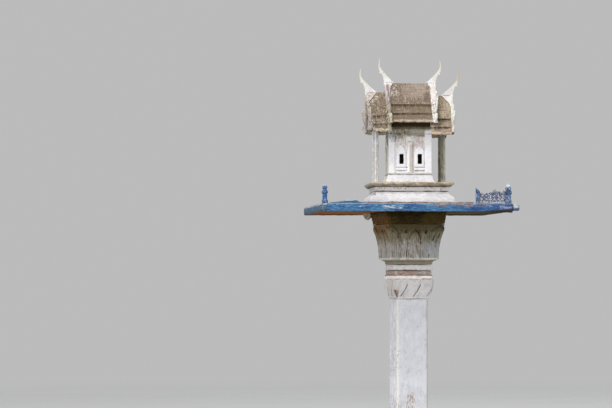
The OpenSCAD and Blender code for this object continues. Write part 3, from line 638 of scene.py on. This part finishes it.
trayBase = like(roughCast, turn=trayTurn, centre=trayCentre)
blueLook = like(
    whitewash, paint=(44, 82, 128), shade=(56, 100, 142), bare=0.12, edgeWear=0.3, cement=(150, 150, 156),
    cementShade=(96, 100, 112), dirt=(34, 48, 80), streaks=0.15, mould=0.3,
    rimColour=(150, 172, 196), grime=0.35,
)
brushed = [
    blot((84, 140, 176), 0.65, (60, 6), 0.36, lean=7),
    blot((32, 66, 120), 0.65, (70, 7), 0.36, lean=-5),
    blot((128, 186, 208), 0.65, (26, 3.4), 0.16, lean=12),
    blot((24, 50, 96), 0.65, (30, 4), 0.14, lean=3),
]
onTop = {"above": 1229, "soft": 2, "ragged": 1}
onRim = {"below": 1194.9, "soft": 0.6, "ragged": 0}
inHollow = {"below": 1201.2, "deep": (-397, 397), "soft": 1.4, "ragged": 0}
trayLook = like(blueLook, settled=0.92, settledColour=(162, 156, 146))
trayFinish = masonry("trayBlue", trayLook, [
    *brushed,
    blot((86, 96, 106), 0.75, (10, 26, 7), 0.7, leftOf=-402, soft=8, ragged=8),
    blot((186, 186, 182), 0.8, (10, 26, 5), leftOf=-402, up=(1222, 1232), ragged=8),
    blot((54, 60, 66), 0.7, (10, 26, 6), leftOf=-402, up=(1190, 1204), ragged=8),
    blot((44, 62, 120), 0.5, rightOf=170, soft=100, ragged=60, cover=0.2),
    blot((188, 196, 200), 0.7, (26, 3.4), 0.16, up=(1212, 1232), lean=-8),
    blot((196, 206, 206), 0.7, (30, 3.4), 0.4, up=(1205, 1222), across=(-170, -80), soft=12, ragged=14,
         lean=9),
    blot((128, 112, 100), 0.85, (40, 7), 0.52, up=(1215, 1232), across=(20, 285), soft=6, ragged=16),
    blot((176, 160, 152), 0.7, (22, 4), 0.3, up=(1218, 1232), across=(20, 285), soft=6, ragged=12),
    blot((206, 194, 204), 0.5, (30, 3.4), 0.4, up=(1204, 1218), across=(340, 400), soft=8, ragged=10,
         lean=-6),
    blot((176, 170, 162), 0.9, (40, 8), 0.62, above=1227.5, before=-402, soft=3, ragged=3),
    blot((146, 144, 138), 0.72, (160, 60), 0.8, **onTop),
    blot((116, 110, 98), 0.5, (70, 40), 0.36, **onTop),
    blot((92, 94, 76), 0.4, (22, 22), 0.2, **onTop),
    blot((58, 50, 72), 0.7, (30, 3), 0.4, up=(1194, 1199), across=(-330, 60), soft=2, ragged=3),
    # the underside: rusty orange towards the left, dark over the pillar as painted shade of the capital,
    # olive brown towards the right
    blot((74, 60, 16), 1, **onRim),
    blot((74, 60, 16), 1, across=(-397, 397), **inHollow),
    blot((150, 92, 12), 0.95, leftOf=-110, **onRim),
    blot((142, 86, 10), 0.95, across=(-397, -110), **inHollow),
    blot((40, 22, 18), 0.85, below=1201.2, across=(-130, 165), deep=(-380, 397), soft=20, ragged=30),
    blot((104, 60, 24), 0.7, (30, 9), 0.3, below=1201.2, across=(-397, 397), deep=(-397, 397), soft=2),
], trayTurn)


sag = {"drop": 5, "along": (230, 390), "front": (396, 408), "under": (-1216, -1194)}


def sagRight(points, normals):
    # the plaster hangs a little lower along the right end of the front
    x, y, z = squared(points, trayBase).T / mm
    share = smoothStep(x, *sag["along"]) * smoothStep(-y, *sag["front"]) * smoothStep(-z, *sag["under"])
    return np.outer(-sag["drop"] * mm * share, (0, 0, 1))


tray = like(
    trayBase, grid=4, recess=6, rimWidth=14, insets=[3, 8, 13.5, 14.5, 20, 36, 60, 90, 130, 170, 210],
    chips=0.2, seed=12, dentSize=22, dents=1.2,
)
cast("traySlab", "tray_slab", "blue_paint", trayFinish, tray, sagRight)
fence = like(trayBase, dents=0.6, dentSize=12, chipSize=14, crust=1.2, crustSize=9)
railFinish = masonry("railBlue", blueLook, [
    *brushed,
    blot((200, 208, 206), 0.8, (30, 5), up=(1240, 1300), across=(-400, -230), ragged=5),
    blot((152, 132, 120), 0.95, rightOf=-244, soft=20, ragged=40),
    blot((190, 172, 164), 0.7, (24, 4), 0.4, rightOf=-250, soft=20),
    blot((104, 84, 72), 0.7, (20, 4), 0.3, rightOf=-250, soft=20),
], trayTurn)
postBlots = [
    blot((140, 164, 198), 0.75, (5, 8), 0.3),
    blot((32, 62, 118), 0.85, (5, 8), 0.42),
    blot((206, 216, 228), 0.8, (3.4, 7), 0.12),
    blot((168, 184, 200), 0.75, above=1302, soft=6, ragged=6),
]
postLook = like(
    blueLook, paint=(60, 96, 142), shade=(46, 78, 124), bare=0.2, cement=(170, 178, 190),
    cementShade=(110, 120, 140),
)
postBlue = masonry("postBlue", postLook, postBlots, trayTurn)
greyPostLook = like(postLook, paint=(116, 128, 140), shade=(90, 104, 118))
greyPost = masonry("greyPost", greyPostLook, [
    *postBlots,
    blot((206, 216, 226), 0.65, (8, 8), 0.6, above=1300, soft=6, ragged=6),
    blot((40, 50, 74), 0.8, (8, 22), 0.6, rightOf=404, soft=5, ragged=5),
    blot((34, 52, 96), 0.7, (8, 8), 0.6, up=(1266, 1286), soft=5, ragged=5),
], trayTurn)
latticeLook = like(postLook, paint=(98, 108, 124), shade=(78, 90, 112), bare=0.15)
latticeFinish = masonry("latticeBlue", latticeLook, [
    blot((216, 218, 224), 0.95, (3.2, 9), 0.35),
    blot((40, 48, 78), 0.85, (3.2, 10), 0.36),
    blot((108, 102, 140), 0.5, (7, 7), 0.3),
    blot((226, 226, 232), 0.8, (22, 5), 0.6, up=(1228, 1236), soft=3, ragged=3),
], trayTurn)
lumpLook = like(whitewash, paint=(204, 209, 210), shade=(164, 172, 178), bare=0)
lumpFinish = masonry("lumpPlaster", lumpLook, [
    blot((52, 72, 120), 0.85, below=1210, soft=6, ragged=12),
    blot((66, 72, 54), 0.7, (8, 5), up=(1218, 1226), across=(414, 430)),
], trayTurn)
for seed, (name, node, slot, finish, grid) in enumerate([
    ("railStub", "tray_rail_stub", "blue_paint", railFinish, 2.6),
    ("cornerLump", "tray_corner_lump", "grey_paint", lumpFinish, 1.8),
    ("leftPost", "left_corner_post", "blue_paint", postBlue, 1.8),
    ("rightPost", "right_corner_post", "blue_paint", greyPost, 1.8),
    ("brokenPost", "broken_fence_post", "blue_paint", greyPost, 1.8),
    ("latticePanel", "fence_panel", "blue_paint", latticeFinish, 1.8),
]):
    cast(name, node, slot, finish, like(fence, grid=grid, seed=13 + seed))
report("Tray")


# Base and room

houseWhite = like(
    whitewash, paint=(233, 232, 237), shade=(223, 222, 225), bare=0, streaks=0.18, mould=0.35,
    rim=0.4, rimColour=(236, 234, 234),
)
smudges = [
    blot((200, 202, 210), 0.4, (5, 16), 0.18),
    blot((190, 178, 170), 0.3, (7, 10), 0.12),
    blot((238, 236, 236), 0.6, (6, 12), 0.34),
]
skirtLook = like(houseWhite, paint=(216, 214, 216), shade=(204, 201, 203), streaks=0.2, bare=0.05, grime=0.3)
skirtFinish = masonry("skirtWhitewash", skirtLook, [
    blot((186, 184, 190), 0.5, (16, 7), 0.3),
    blot((232, 230, 228), 0.6, (24, 6), 0.35),
    blot((168, 174, 200), 0.5, (9, 9), up=(1228, 1262), across=(-190, -110), soft=12, ragged=20),
    blot((128, 104, 92), 0.85, below=1236, ragged=8, drips=4),
    blot((92, 72, 62), 0.6, (16, 4), 0.35, below=1237, soft=3, ragged=6),
    blot((72, 62, 56), 0.75, (9, 9), 0.6, up=(1268, 1286), across=(-180, -158), before=-120, soft=6,
         ragged=8),
    # a dark line at the joint under the waist: painted shadow
    blot((98, 80, 68), 0.85, (50, 6), 0.64, up=(1284.5, 1290), soft=2.5, ragged=2.5),
    blot((222, 217, 213), 0.7, (10, 10), 0.6, above=1290, ragged=8),
    blot((138, 116, 100), 0.7, (6, 12), 0.26, above=1293, ragged=10, drips=10),
])
deckLook = like(
    whitewash, paint=(190, 172, 155), shade=(168, 152, 134), bare=0.3, grime=0.9, cement=(182, 172, 152),
    cementShade=(128, 112, 92), mould=0.6, rim=0.5, rimColour=(196, 188, 166),
)
deckFinish = masonry("deckCement", deckLook, [
    blot((132, 122, 98), 0.6, (26, 6), 0.4),
    blot((200, 192, 168), 0.6, (20, 4), 0.25),
    blot((146, 104, 92), 0.6, (30, 6), 0.6, up=(1318, 1330), across=(20, 120), soft=6, ragged=12),
    blot((62, 46, 36), 0.85, (20, 9), 0.55, below=1311, ragged=10),
    blot((54, 30, 26), 0.85, (12, 5), 0.35, up=(1306, 1312), soft=3, ragged=3),
    blot((104, 88, 72), 0.45, cover=0.04),
    blot((190, 185, 164), 0.6, (24, 10), above=1325, soft=3, ragged=6),
    blot((170, 166, 156), 0.6, leftOf=-176, ragged=6),
])
base = like(roughCast, grid=3.5, insets=[3, 9, 20, 40], dents=1.1, dentSize=20)
cast("baseSkirt", "base_skirt", "white_paint", skirtFinish, like(base, seed=20))
cast("baseWaist", "base_waist", "white_paint", skirtFinish, like(base, seed=21))
cast("baseDeck", "base_deck", "bare_cement", deckFinish, like(base, seed=22, insets=[3, 9, 20, 40, 70]))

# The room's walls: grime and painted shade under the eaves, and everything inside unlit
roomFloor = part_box("wall_foot")[1][2]
inside = {"across": (-0.0895, 0.0895), "deep": (-0.0688, 0.0688), "soft": 0.0016, "colour": tone(84, 78, 70)}
wallLook = like(houseWhite, dark=[inside], soot=(128, 120, 112), scoring=0.6, broken=3)
wallFinish = masonry("wallWhitewash", wallLook, [
    *smudges,
    # brown wash over the windows, with white flames rising through it
    blot((186, 172, 162), 0.75, up=(1478, 1534), across=(-62, -8), soft=14, ragged=44, drips=60, cover=0.22),
    blot((180, 166, 156), 0.75, up=(1470, 1534), across=(14, 62), soft=14, ragged=44, drips=60, cover=0.24),
    blot((232, 230, 228), 0.75, (7, 20), 0.36, up=(1470, 1530), across=(-70, 66), soft=10, ragged=20),
    blot((184, 174, 164), 0.8, up=(1376, 1500), across=(-3, 14), soft=3),
    blot((152, 136, 124), 0.5, (4, 30), 0.6, up=(1376, 1500), across=(9, 15), soft=3, ragged=3),
    blot((232, 230, 226), 0.9, up=(1496, 1531), across=(-13, 12)),
    blot((160, 156, 148), 0.7, (22, 4.5), 0.4, up=(1496, 1531), across=(-12, 9), soft=3, ragged=2),
    # black streaks under the front end of the eaves
    blot((112, 110, 100), 0.7, (4.5, 26), up=(1504, 1544), across=(-88, -54), soft=10, ragged=26),
    blot((60, 54, 42), 0.6, (9, 16), 0.42, up=(1522, 1566), across=(-96, -30), soft=12, ragged=24),
    # the frieze, grey green with white specks, over a thin red line
    blot((146, 141, 124), 0.9, above=1533, across=(-60, 64), soft=5, ragged=12, drips=8),
    blot((146, 141, 124), 0.7, (12, 22), 0.6, above=1538, leftOf=-52, soft=10, ragged=22, drips=20),
    blot((146, 141, 124), 0.8, above=1556, rightOf=56, soft=8, ragged=10, drips=10),
    blot((86, 78, 54), 0.75, (9, 9), up=(1536, 1572), across=(-60, 4), soft=8, ragged=18),
    blot((198, 194, 184), 0.75, (5, 7), 0.24, up=(1536, 1566), across=(-66, 62), soft=5),
    blot((122, 82, 66), 0.7, (14, 4), 0.6, up=(1530, 1535.5), across=(22, 64), soft=2.5, ragged=3),
    # darker towards the eaves: a brown stain with painted shade under them
    blot((96, 84, 54), 0.85, above=1562, soft=8, ragged=10, drips=10),
    blot((48, 39, 20), 0.92, above=1572, soft=8, ragged=8, drips=8),
])
surroundFinish = masonry("surroundWhitewash", wallLook, [
    *smudges,
    blot((176, 166, 158), 0.45, (8, 12), 0.4, above=1474, soft=20, ragged=40, drips=30),
])
endLook = like(wallLook, paint=(214, 212, 206), shade=(196, 194, 184), streaks=0.3)
endFinish = masonry("endWallWhitewash", endLook, [
    *smudges,
    blot((224, 221, 198), 0.5, (8, 40), 0.4),
    # darker towards the top, under the roofs: stain with painted shade
    blot((110, 104, 88), 0.6, above=1500, soft=100, ragged=50, drips=60),
    blot((58, 46, 26), 0.85, above=1560, soft=40, ragged=30, drips=30),
])
footTrimLook = like(houseWhite, paint=(218, 217, 220), shade=(208, 206, 209))
footTrim = masonry("footTrim", footTrimLook, [
    *smudges,
    blot((226, 222, 198), 0.6, leftOf=-100, soft=6, ragged=6, cover=0.3),
    # the grey line along the recess over the foot: painted shade, flecked darker
    blot((174, 168, 158), 0.7, (30, 8), 0.62, up=(1361, 1369)),
    blot((126, 112, 98), 0.6, (16, 5), 0.3, up=(1363, 1367), soft=3, ragged=3),
    blot((196, 200, 208), 0.5, (22, 5), 0.3, up=(1338, 1362)),
    blot((150, 132, 112), 0.6, (26, 6), 0.6, below=1331, ragged=5),
])
cast("wallFoot", "wall_foot", "white_paint", footTrim, like(base, seed=23, insets=[3, 9, 20]))

# Lines of the windows' frames, the sills, the frieze and its fringe, on the flat of a long wall
wallLines = [stroke([(-66, 162), (66, 162)], 4, 1.6)]
wallLines += [stroke([(end, 6), (end, 158)], 3, 1.2) for end in (-67, 67)]
windows = (-37.6, 42.4)
for window in windows:
    wallLines += [stroke([(window - 22, 24.5), (window + 24, 24.5)], 4.5, 2.8),
                  stroke([(window - 23, 9.5), (window + 22, 9.5)], 4, 1.7)]
    for side in (-1, 1):
        outer, shoulder, inner = (window + side * out for out in (22, 12, 14))
        wallLines += [stroke([(outer, 28), (outer, 98), (shoulder, 112), (window, 128)], 3.5, 1.1),
                      stroke([(inner, 34), (inner, 90), (window, 106)], 3, 0.6)]
tassels = {"from": -61, "to": 64, "pitch": 7, "bareMiddle": 18}
for tassel in range(tassels["from"], tassels["to"], tassels["pitch"]):
    if abs(tassel) > tassels["bareMiddle"]:
        wallLines.append(stroke([(tassel, 157), (tassel + 1.5, 140 - 5 * math.sin(tassel))], 3.2, 1))
wallFace = {"from": 0.068, "facing": (0.5, 0.9)}


def carveWall(points, normals):
    # the same drawing on the near and the far wall, each seen from outside
    side = -np.sign(points[:, 1])
    facing = smoothStep(-side * normals[:, 1], *wallFace["facing"]) * (abs(points[:, 1]) > wallFace["from"])
    depth = depthOf(points[:, 0] * side / mm, (points[:, 2] - roomFloor) / mm, wallLines)
    return np.outer(side * depth * facing * mm, (0, 1, 0))


walls = like(roughCast, dents=1, dentSize=16)
for seed, (name, node, finish, carve, grid) in enumerate([
    ("nearWall", "near_wall", wallFinish, carveWall, 2.2),
    ("farWall", "far_wall", wallFinish, carveWall, 2.5),
    ("frontEndWall", "front_end_wall", endFinish, None, 3),
    ("backEndWall", "back_end_wall", endFinish, None, 3),
]):
    cast(name, node, "white_paint", finish, like(walls, grid=grid, seed=24 + seed), carve)
surrounds = like(roughCast, grid=1.5, dents=0.5, dentSize=12)
for seed, (name, node, finish, carve) in enumerate([
    ("nearSurrounds", "near_window_frames", surroundFinish, carveWall),
    ("farSurrounds", "far_window_frames", surroundFinish, carveWall),
    ("doorSurround", "front_door_frame", endFinish, None),
    ("backSurround", "back_window_frame", endFinish, None),
]):
    cast(name, node, "white_paint", finish, like(surrounds, seed=28 + seed), carve)
report("Room")


# Porches and roofs

frontPostLook = like(
    whitewash, paint=(202, 201, 206), shade=(184, 184, 184), bare=0.1, streaks=0.3, mould=0.4,
)
frontPostFinish = masonry("frontPostPlaster", frontPostLook, [
    blot((216, 212, 192), 0.7, (8, 30), 0.6, across=(-143, -130), ragged=5),
    blot((136, 138, 122), 0.6, (5, 16), 0.2),
    blot((226, 225, 230), 0.6, (5, 20), 0.3),
    blot((160, 158, 146), 0.8, (8, 22), 0.66, deep=(-95, -40), across=(-150, -130), soft=5, ragged=5),
])
# the back posts darker than the front ones: mossy stain with painted shade of the porch
backPostLook = like(
    whitewash, paint=(140, 138, 126), shade=(104, 102, 90), bare=0.4, streaks=0.5, cement=(128, 118, 100),
    cementShade=(84, 76, 58), mould=0.6,
)
backPostFinish = masonry("backPostPlaster", backPostLook, [
    blot((72, 66, 52), 0.75, (8, 40), 0.6, deep=(-84, -72), leftOf=144, soft=5, ragged=6),
    blot((186, 180, 160), 0.75, (6, 26), 0.55, across=(148, 170), soft=5, ragged=6),
    blot((84, 104, 92), 0.5, (5, 18), 0.25),
    blot((206, 202, 186), 0.6, (4, 12), 0.12),
])
gableLook = like(whitewash, paint=(194, 184, 176), shade=(168, 156, 146), bare=0.4, streaks=0.5)
gableFinish = masonry("gablePlaster", gableLook, [
    blot((216, 206, 198), 0.6, (9, 14), 0.3),
    blot((120, 100, 88), 0.6, (8, 16), 0.25),
])
roofLook = like(
    whitewash, paint=(160, 146, 131), shade=(128, 113, 97), bare=0.45, edgeWear=0.1, cement=(148, 133, 116),
    cementShade=(94, 80, 64), dirt=(62, 50, 38), streaks=0.5, grime=1, mould=0.7, mouldColour=(206, 200, 190),
    soot=(88, 74, 60), scoring=0.55, bump=1.4, settled=0.5, settledColour=(98, 84, 68), rim=0.75,
    rimColour=(188, 172, 152),
)
roofFlecks = [
    blot((100, 84, 68), 0.6, (4, 26, 26), 0.4),
    blot((184, 170, 156), 0.6, (4, 20, 20), 0.3),
    blot((104, 90, 74), 0.5, (50, 9, 9), 0.3),
    blot((214, 206, 190), 0.6, (4, 5, 5), 0.07),
]
upperRoofFinish = masonry("upperRoofCement", roofLook, [
    *roofFlecks,
    blot((172, 156, 148), 0.4, up=(1700, 1764), across=(-30, 78), soft=16, ragged=24, cover=0.2),
    blot((214, 205, 196), 0.65, (6, 10, 10), 0.42, up=(1702, 1760), across=(-94, -46), before=0, soft=12,
         ragged=24, lean=20),
    # dark lines under the lips of the tiers: painted shadow
    *[blot((64, 51, 38), 0.85, (60, 9), 0.72, up=lap, soft=3)
      for lap in ((1663.5, 1671), (1622, 1630.5))],
    blot((100, 80, 74), 0.55, up=(1676, 1724), across=(62, 92), soft=10, ragged=14, cover=0.3),
    blot((122, 104, 84), 0.45, up=(1590, 1672), soft=6, ragged=10, cover=0.2),
    blot((196, 178, 156), 0.75, (22, 9), 0.62, up=(1580, 1599), soft=3, ragged=6),
    blot((236, 230, 222), 0.85, (9, 6), 0.12, up=(1580, 1600), soft=3),
    blot((222, 214, 208), 0.85, (9, 20), 0.62, leftOf=-90, soft=5, ragged=9),
    blot((150, 128, 126), 0.7, (5, 40), 0.45, leftOf=-92, above=1640, ragged=6),
    blot((232, 228, 224), 0.9, (9, 24), 0.72, rightOf=93, soft=5, ragged=9),
])
porchFlecks = [
    blot((206, 196, 174), 0.7, (4, 7, 7), 0.2),
    blot((62, 50, 36), 0.7, (4, 9, 9), 0.24),
    blot((142, 138, 86), 0.6, (5, 7, 7), 0.1),
    blot((168, 142, 134), 0.5, (24, 20, 20), 0.2),
]
frontRoofFinish = masonry("frontRoofCement", roofLook, [
    *roofFlecks, *porchFlecks,
    blot((198, 188, 164), 0.75, (7, 8, 14), 0.55, across=(-105, -70), soft=5, ragged=10),
    blot((56, 54, 34), 0.85, (5, 6, 9), 0.36, across=(-110, -70), soft=5, ragged=8),
    blot((202, 190, 168), 0.8, (12, 8), 0.6, up=(1540, 1561), ragged=8),
    blot((222, 218, 206), 0.85, (7, 8, 8), up=(1560, 1602), leftOf=-160, soft=8, ragged=12),
    blot((226, 216, 200), 0.8, (8, 10, 10), 0.4, up=(1680, 1712), across=(-176, -136), soft=8, ragged=14),
    blot((160, 132, 128), 0.3, (9, 14, 14), up=(1690, 1740), across=(-146, -94), soft=20, ragged=30),
])
backRoofLook = like(roofLook, paint=(186, 170, 148), shade=(160, 143, 120), settled=0.25)
backRoofFinish = masonry("backRoofCement", backRoofLook, [
    *roofFlecks,
    blot((140, 126, 84), 0.45, (18, 14, 14), 0.25),
    blot((212, 198, 184), 0.8, (7, 10, 10), 0.45, up=(1650, 1712), across=(100, 124), soft=8, ragged=12),
    # dark lines under the lips of the tiers: painted shadow
    *[blot((70, 58, 36), 0.8, (60, 9), 0.72, up=lap, soft=3) for lap in ((1600, 1607.5), (1563, 1570.5))],
    blot((206, 192, 166), 0.85, (9, 10, 18), 0.6, across=(70, 101), soft=5, ragged=10),
    blot((198, 176, 158), 0.85, (14, 9), 0.6, up=(1530, 1547), ragged=8),
    blot((176, 148, 140), 0.5, (14, 6), 0.4, up=(1547, 1575), soft=6, ragged=8),
])
beamLook = like(
    whitewash, paint=(120, 104, 84), shade=(92, 78, 60), bare=0.5, streaks=0.5, cement=(104, 90, 70),
    cementShade=(70, 58, 42), rim=0,
)
beamFinish = masonry("beamCement", beamLook)

# Courses of small tiles, each course a little under the one above, and a lip that hangs over at every tier
tiles = {
    "course": 11, "slant": 0.72, "tile": 9, "step": 1.3, "joint": 1.2, "jointWidth": 0.28,
    "facing": (0.3, 0.5),
}


def carveTiles(points, normals):
    slope = smoothStep(normals[:, 2], *tiles["facing"])
    course = points[:, 2] / mm / (tiles["course"] * tiles["slant"])
    row = np.floor(course)
    part = course - row
    across = points[:, 0] / mm / tiles["tile"] + 0.5 * (row % 2)
    joint = 1 - smoothStep(abs(across - np.floor(across) - 0.5), 0, tiles["jointWidth"])
    depth = tiles["step"] * part + tiles["joint"] * joint
    return -normals * (depth * slope * mm)[:, None]


for side, postFinish in (("front", frontPostFinish), ("back", backPostFinish)):
    for part, slot, finish, changes in (
        ("Posts", "white_paint", postFinish, {"grid": 2.4, "seed": 32, "crust": 1}),
        ("Beams", "bare_cement", beamFinish, {"grid": 3, "seed": 33}),
        ("Gable", "grey_paint", gableFinish, {"grid": 3, "seed": 34}),
    ):
        cast(f"{side}Porch{part}", f"{side}_porch_{part.lower()}", slot, finish, like(roughCast, **changes))
roofs = like(roughCast, grid=2.7, chips=0.15, crust=1.8, crustSize=12, dents=1.4, dentSize=18)
frontRoofLumps = [
    lump((-168, -146, 1574), 14, 6), lump((-100, -148, 1556), 12, 5), lump((-98, -120, 1600), 12, 4),
    lump((-126, -151, 1552), 12, 4), lump((-152, -151, 1554), 10, 4),
]
for seed, (name, node, finish, changes) in enumerate([
    ("upperRoof", "upper_roof", upperRoofFinish, {"grid": 2.9}),
    ("frontPorchRoof", "front_porch_roof", frontRoofFinish, {"crust": 3.6, "lumps": frontRoofLumps}),
    ("backPorchRoof", "back_porch_roof", backRoofFinish, {"crust": 2.2}),
]):
    cast(name, node, "mossy_roof", finish, like(roofs, seed=35 + seed, **changes), carveTiles)

# The boards along the eaves, each with its blots, its lumps of crust and the height of its foot, and the
# horns on top of them
boardLook = like(
    whitewash, paint=(222, 219, 215), shade=(206, 198, 192), bare=0.15, streaks=0.2, grime=0.9,
    dirt=(132, 118, 104), mould=0.4, rim=0.6, rimColour=(238, 236, 232),
)
crusted = [
    blot((178, 164, 150), 0.6, (6, 9), 0.25),
    blot((238, 236, 230), 0.6, (6, 9), 0.3),
]
lilac = {"soft": 20, "ragged": 20, "drips": 30}
boardPlans = {
    "upperFront": {
        "foot": 1588, "lumps": [lump((-92, -146, 1612), 13, 4), lump((-90, -152, 1590), 11, 4)],
        "blots": [
            blot((176, 164, 162), 0.7, up=(1655, 1756), **lilac),
            blot((132, 114, 118), 0.85, up=(1666, 1762), across=(-100, -89), soft=3, ragged=5),
            blot((188, 177, 156), 0.75, up=(1560, 1668), soft=12, ragged=16, cover=0.2),
            blot((112, 100, 74), 0.75, (5, 6, 9), 0.32, up=(1560, 1668), soft=12, ragged=16),
        ],
    },
    "upperBack": {
        "foot": 1588, "blots": [],
        "lumps": [lump((106, -148, 1590), 13, 5), lump((104, -118, 1640), 10, 4),
                  lump((104, -80, 1676), 10, 4)],
    },
    "lowerFront": {
        "foot": 1556, "lumps": [lump((-182, -148, 1586), 13, 5), lump((-180, -150, 1566), 12, 4)],
        "bends": [{"from": 134, "to": 158, "out": -8.5}],      # its far tails lean outwards
        "colours": {"paint": (196, 187, 180), "shade": (174, 163, 155)},
        "blots": [
            blot((152, 138, 136), 0.7, up=(1540, 1690), **lilac),
            blot((192, 186, 158), 0.65, (6, 14), 0.42, up=(1610, 1682), soft=12, ragged=16),
            blot((110, 94, 74), 0.75, (5, 6, 10), 0.26, up=(1540, 1690), soft=12, ragged=14),
            blot((210, 202, 182), 0.75, (8, 10), 0.45, up=(1530, 1570), soft=10, ragged=12),
        ],
    },
    "lowerBack": {
        "foot": 1546, "lumps": [lump((184, -122, 1594), 11, 5), lump((186, -148, 1562), 11, 4)],
        "blots": [
            blot((200, 208, 202), 0.3, up=(1600, 1700), soft=20, ragged=20, cover=0.2),
            blot((206, 190, 160), 0.6, (7, 12), 0.4, up=(1520, 1600), soft=20, ragged=20),
        ],
        "tip": (184, 164, 136), "tipShare": 0.8,
    },
}
fallen = 0.55      # how much of what hung below the foot has come off
hornLook = like(
    whitewash, paint=(224, 223, 224), shade=(213, 210, 209), bare=0, streaks=0.15, grime=0.5,
    dirt=(150, 140, 122), mould=0.3, rim=0.5,
)
hornTip = {"colour": (196, 190, 172), "share": 0.6, "above": 58}


def carveBoard(foot):
    # the lowest crust has fallen from the eaves' ends
    def lift(points, normals):
        return np.outer(np.clip(foot * mm - points[:, 2], 0, 1) * fallen, (0, 0, 1))
    return lift


def hornFinish(name, tipsFrom, tip, share):
    # whitewashed low down, weathered to a cream that darkens towards the tip
    return masonry(name, hornLook, [
        blot((190, 184, 172), 0.6, (5, 8), 0.25),
        blot((206, 203, 192), 0.7, above=tipsFrom - 34, soft=30, ragged=20),
        blot(tip, share, above=tipsFrom, soft=30, ragged=16, cover=0.3),
        blot((110, 88, 66), 0.7, (5, 6), 0.16, up=(tipsFrom - 26, tipsFrom + 4), soft=8, ragged=8),
    ])


boards = like(roughCast, grid=2.15, seed=40, dents=1, dentSize=12, crust=3.4, crustSize=11)
horns = like(roughCast, grid=1.1, seed=44, dents=0.3, chips=0, dentSize=10)
for level in ("upper", "lower"):
    for side in ("front", "back"):
        place = level + side.capitalize()
        plan = boardPlans[place]
        look = like(boardLook, **plan.get("colours", {}))
        boardFinish = masonry(place + "Whitewash", look, [*crusted, *plan["blots"]])
        board = like(boards, lumps=plan["lumps"], bends=plan.get("bends", []))
        cast(place + "Board", f"{level}_{side}_bargeboard", "white_paint", boardFinish, board,
             carveBoard(plan["foot"]))
        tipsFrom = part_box(f"{level}_{side}_horn")[0][2] / mm + hornTip["above"]
        tipFinish = hornFinish(place + "HornWhitewash", tipsFrom, plan.get("tip", hornTip["colour"]),
                               plan.get("tipShare", hornTip["share"]))
        cast(place + "Horn", f"{level}_{side}_horn", "white_paint", tipFinish, horns)
report("Roofs")


# Camera, lamps and floor

shot = {
    "azimuth": -6, "distance": 12, "height": 0.92,
    "lens": 160.4, "sensor": 36,
    "yaw": 2.153, "pitch": 1.512,      # the aim, to the left of the pillar and above the horizon
}
azimuth = math.radians(shot["azimuth"])
camera = bpy.data.objects.new("camera", bpy.data.cameras.new("camera"))
bpy.context.scene.collection.objects.link(camera)
camera.location = (shot["distance"] * math.sin(azimuth), -shot["distance"] * math.cos(azimuth),
                   shot["height"])
camera.rotation_euler = (math.radians(90 + shot["pitch"]), 0, azimuth + math.radians(shot["yaw"]))
camera.data.sensor_fit = "HORIZONTAL"
camera.data.sensor_width = shot["sensor"]
camera.data.lens = shot["lens"]
camera.data.clip_end = 100
bpy.context.scene.camera = camera

lamps = {
    "key": {"place": (-4, -5, 9), "size": 4, "power": 600},
    "fill": {"place": (-5, -9, 3), "size": 6, "power": 520},
    "rim": {"place": (3, 7, 7), "size": 5, "power": 300},
}
for name, lamp in lamps.items():
    light = bpy.data.objects.new(name, bpy.data.lights.new(name, "AREA"))
    bpy.context.scene.collection.objects.link(light)
    light.location = lamp["place"]
    light.rotation_euler = (Vector((0, 0, 1)) - Vector(lamp["place"])).to_track_quat("-Z", "Y").to_euler()
    light.data.size = lamp["size"]
    light.data.energy = lamp["power"]

studio = Nodes(bpy.data.worlds.new("studio"))
bpy.context.scene.world = studio.owner
sky = {"glow": 0.52, "seen": 0.5}      # as it lights the house, and as the camera and gloss see it
toCamera = studio.node("ShaderNodeLightPath", output="Is Camera Ray")
toGloss = studio.node("ShaderNodeLightPath", output="Is Glossy Ray")
direct = studio.node("ShaderNodeMath", {"operation": "MAXIMUM"}, {0: toCamera, 1: toGloss})
strength = studio.node("ShaderNodeMapRange", None, {
    "Value": direct, "To Min": sky["glow"], "To Max": sky["seen"],
})
background = studio.node("ShaderNodeBackground", None, {"Color": (1, 1, 1, 1), "Strength": strength})
studio.node("ShaderNodeOutputWorld", None, {"Surface": background}, output=None)

floorPlan = {"radius": 14, "fadeFrom": 4, "fadeTo": 13, "sides": 96}
angles = [2 * math.pi * i / floorPlan["sides"] for i in range(floorPlan["sides"])]
ring = [(floorPlan["radius"] * math.cos(angle), floorPlan["radius"] * math.sin(angle), 0) for angle in angles]
floor = newPiece("floor", ring, [tuple(range(floorPlan["sides"]))])
floorFinish = Finish("paleFloor")
away = floorFinish.node("ShaderNodeVectorMath", {"operation": "LENGTH"}, {0: floorFinish.place},
                        output="Value")
speckle = floorFinish.cloud(0.4, 3)
matt = floorFinish.node("ShaderNodeBsdfDiffuse", None, {
    "Color": floorFinish.blend(speckle, tone(186, 188, 188), tone(192, 194, 193)), "Roughness": 0.5,
})
clear = floorFinish.node("ShaderNodeBsdfTransparent")
fade = floorFinish.step(away, floorPlan["fadeFrom"], floorPlan["fadeTo"])
surface = floorFinish.node("ShaderNodeMixShader", None, {0: fade, 1: matt, 2: clear})
floorFinish.node("ShaderNodeOutputMaterial", None, {"Surface": surface}, output=None)
floor.data.materials.append(floorFinish.owner)

bpy.context.scene.view_settings.view_transform = "Standard"
print("Camera, lamps and floor are set")
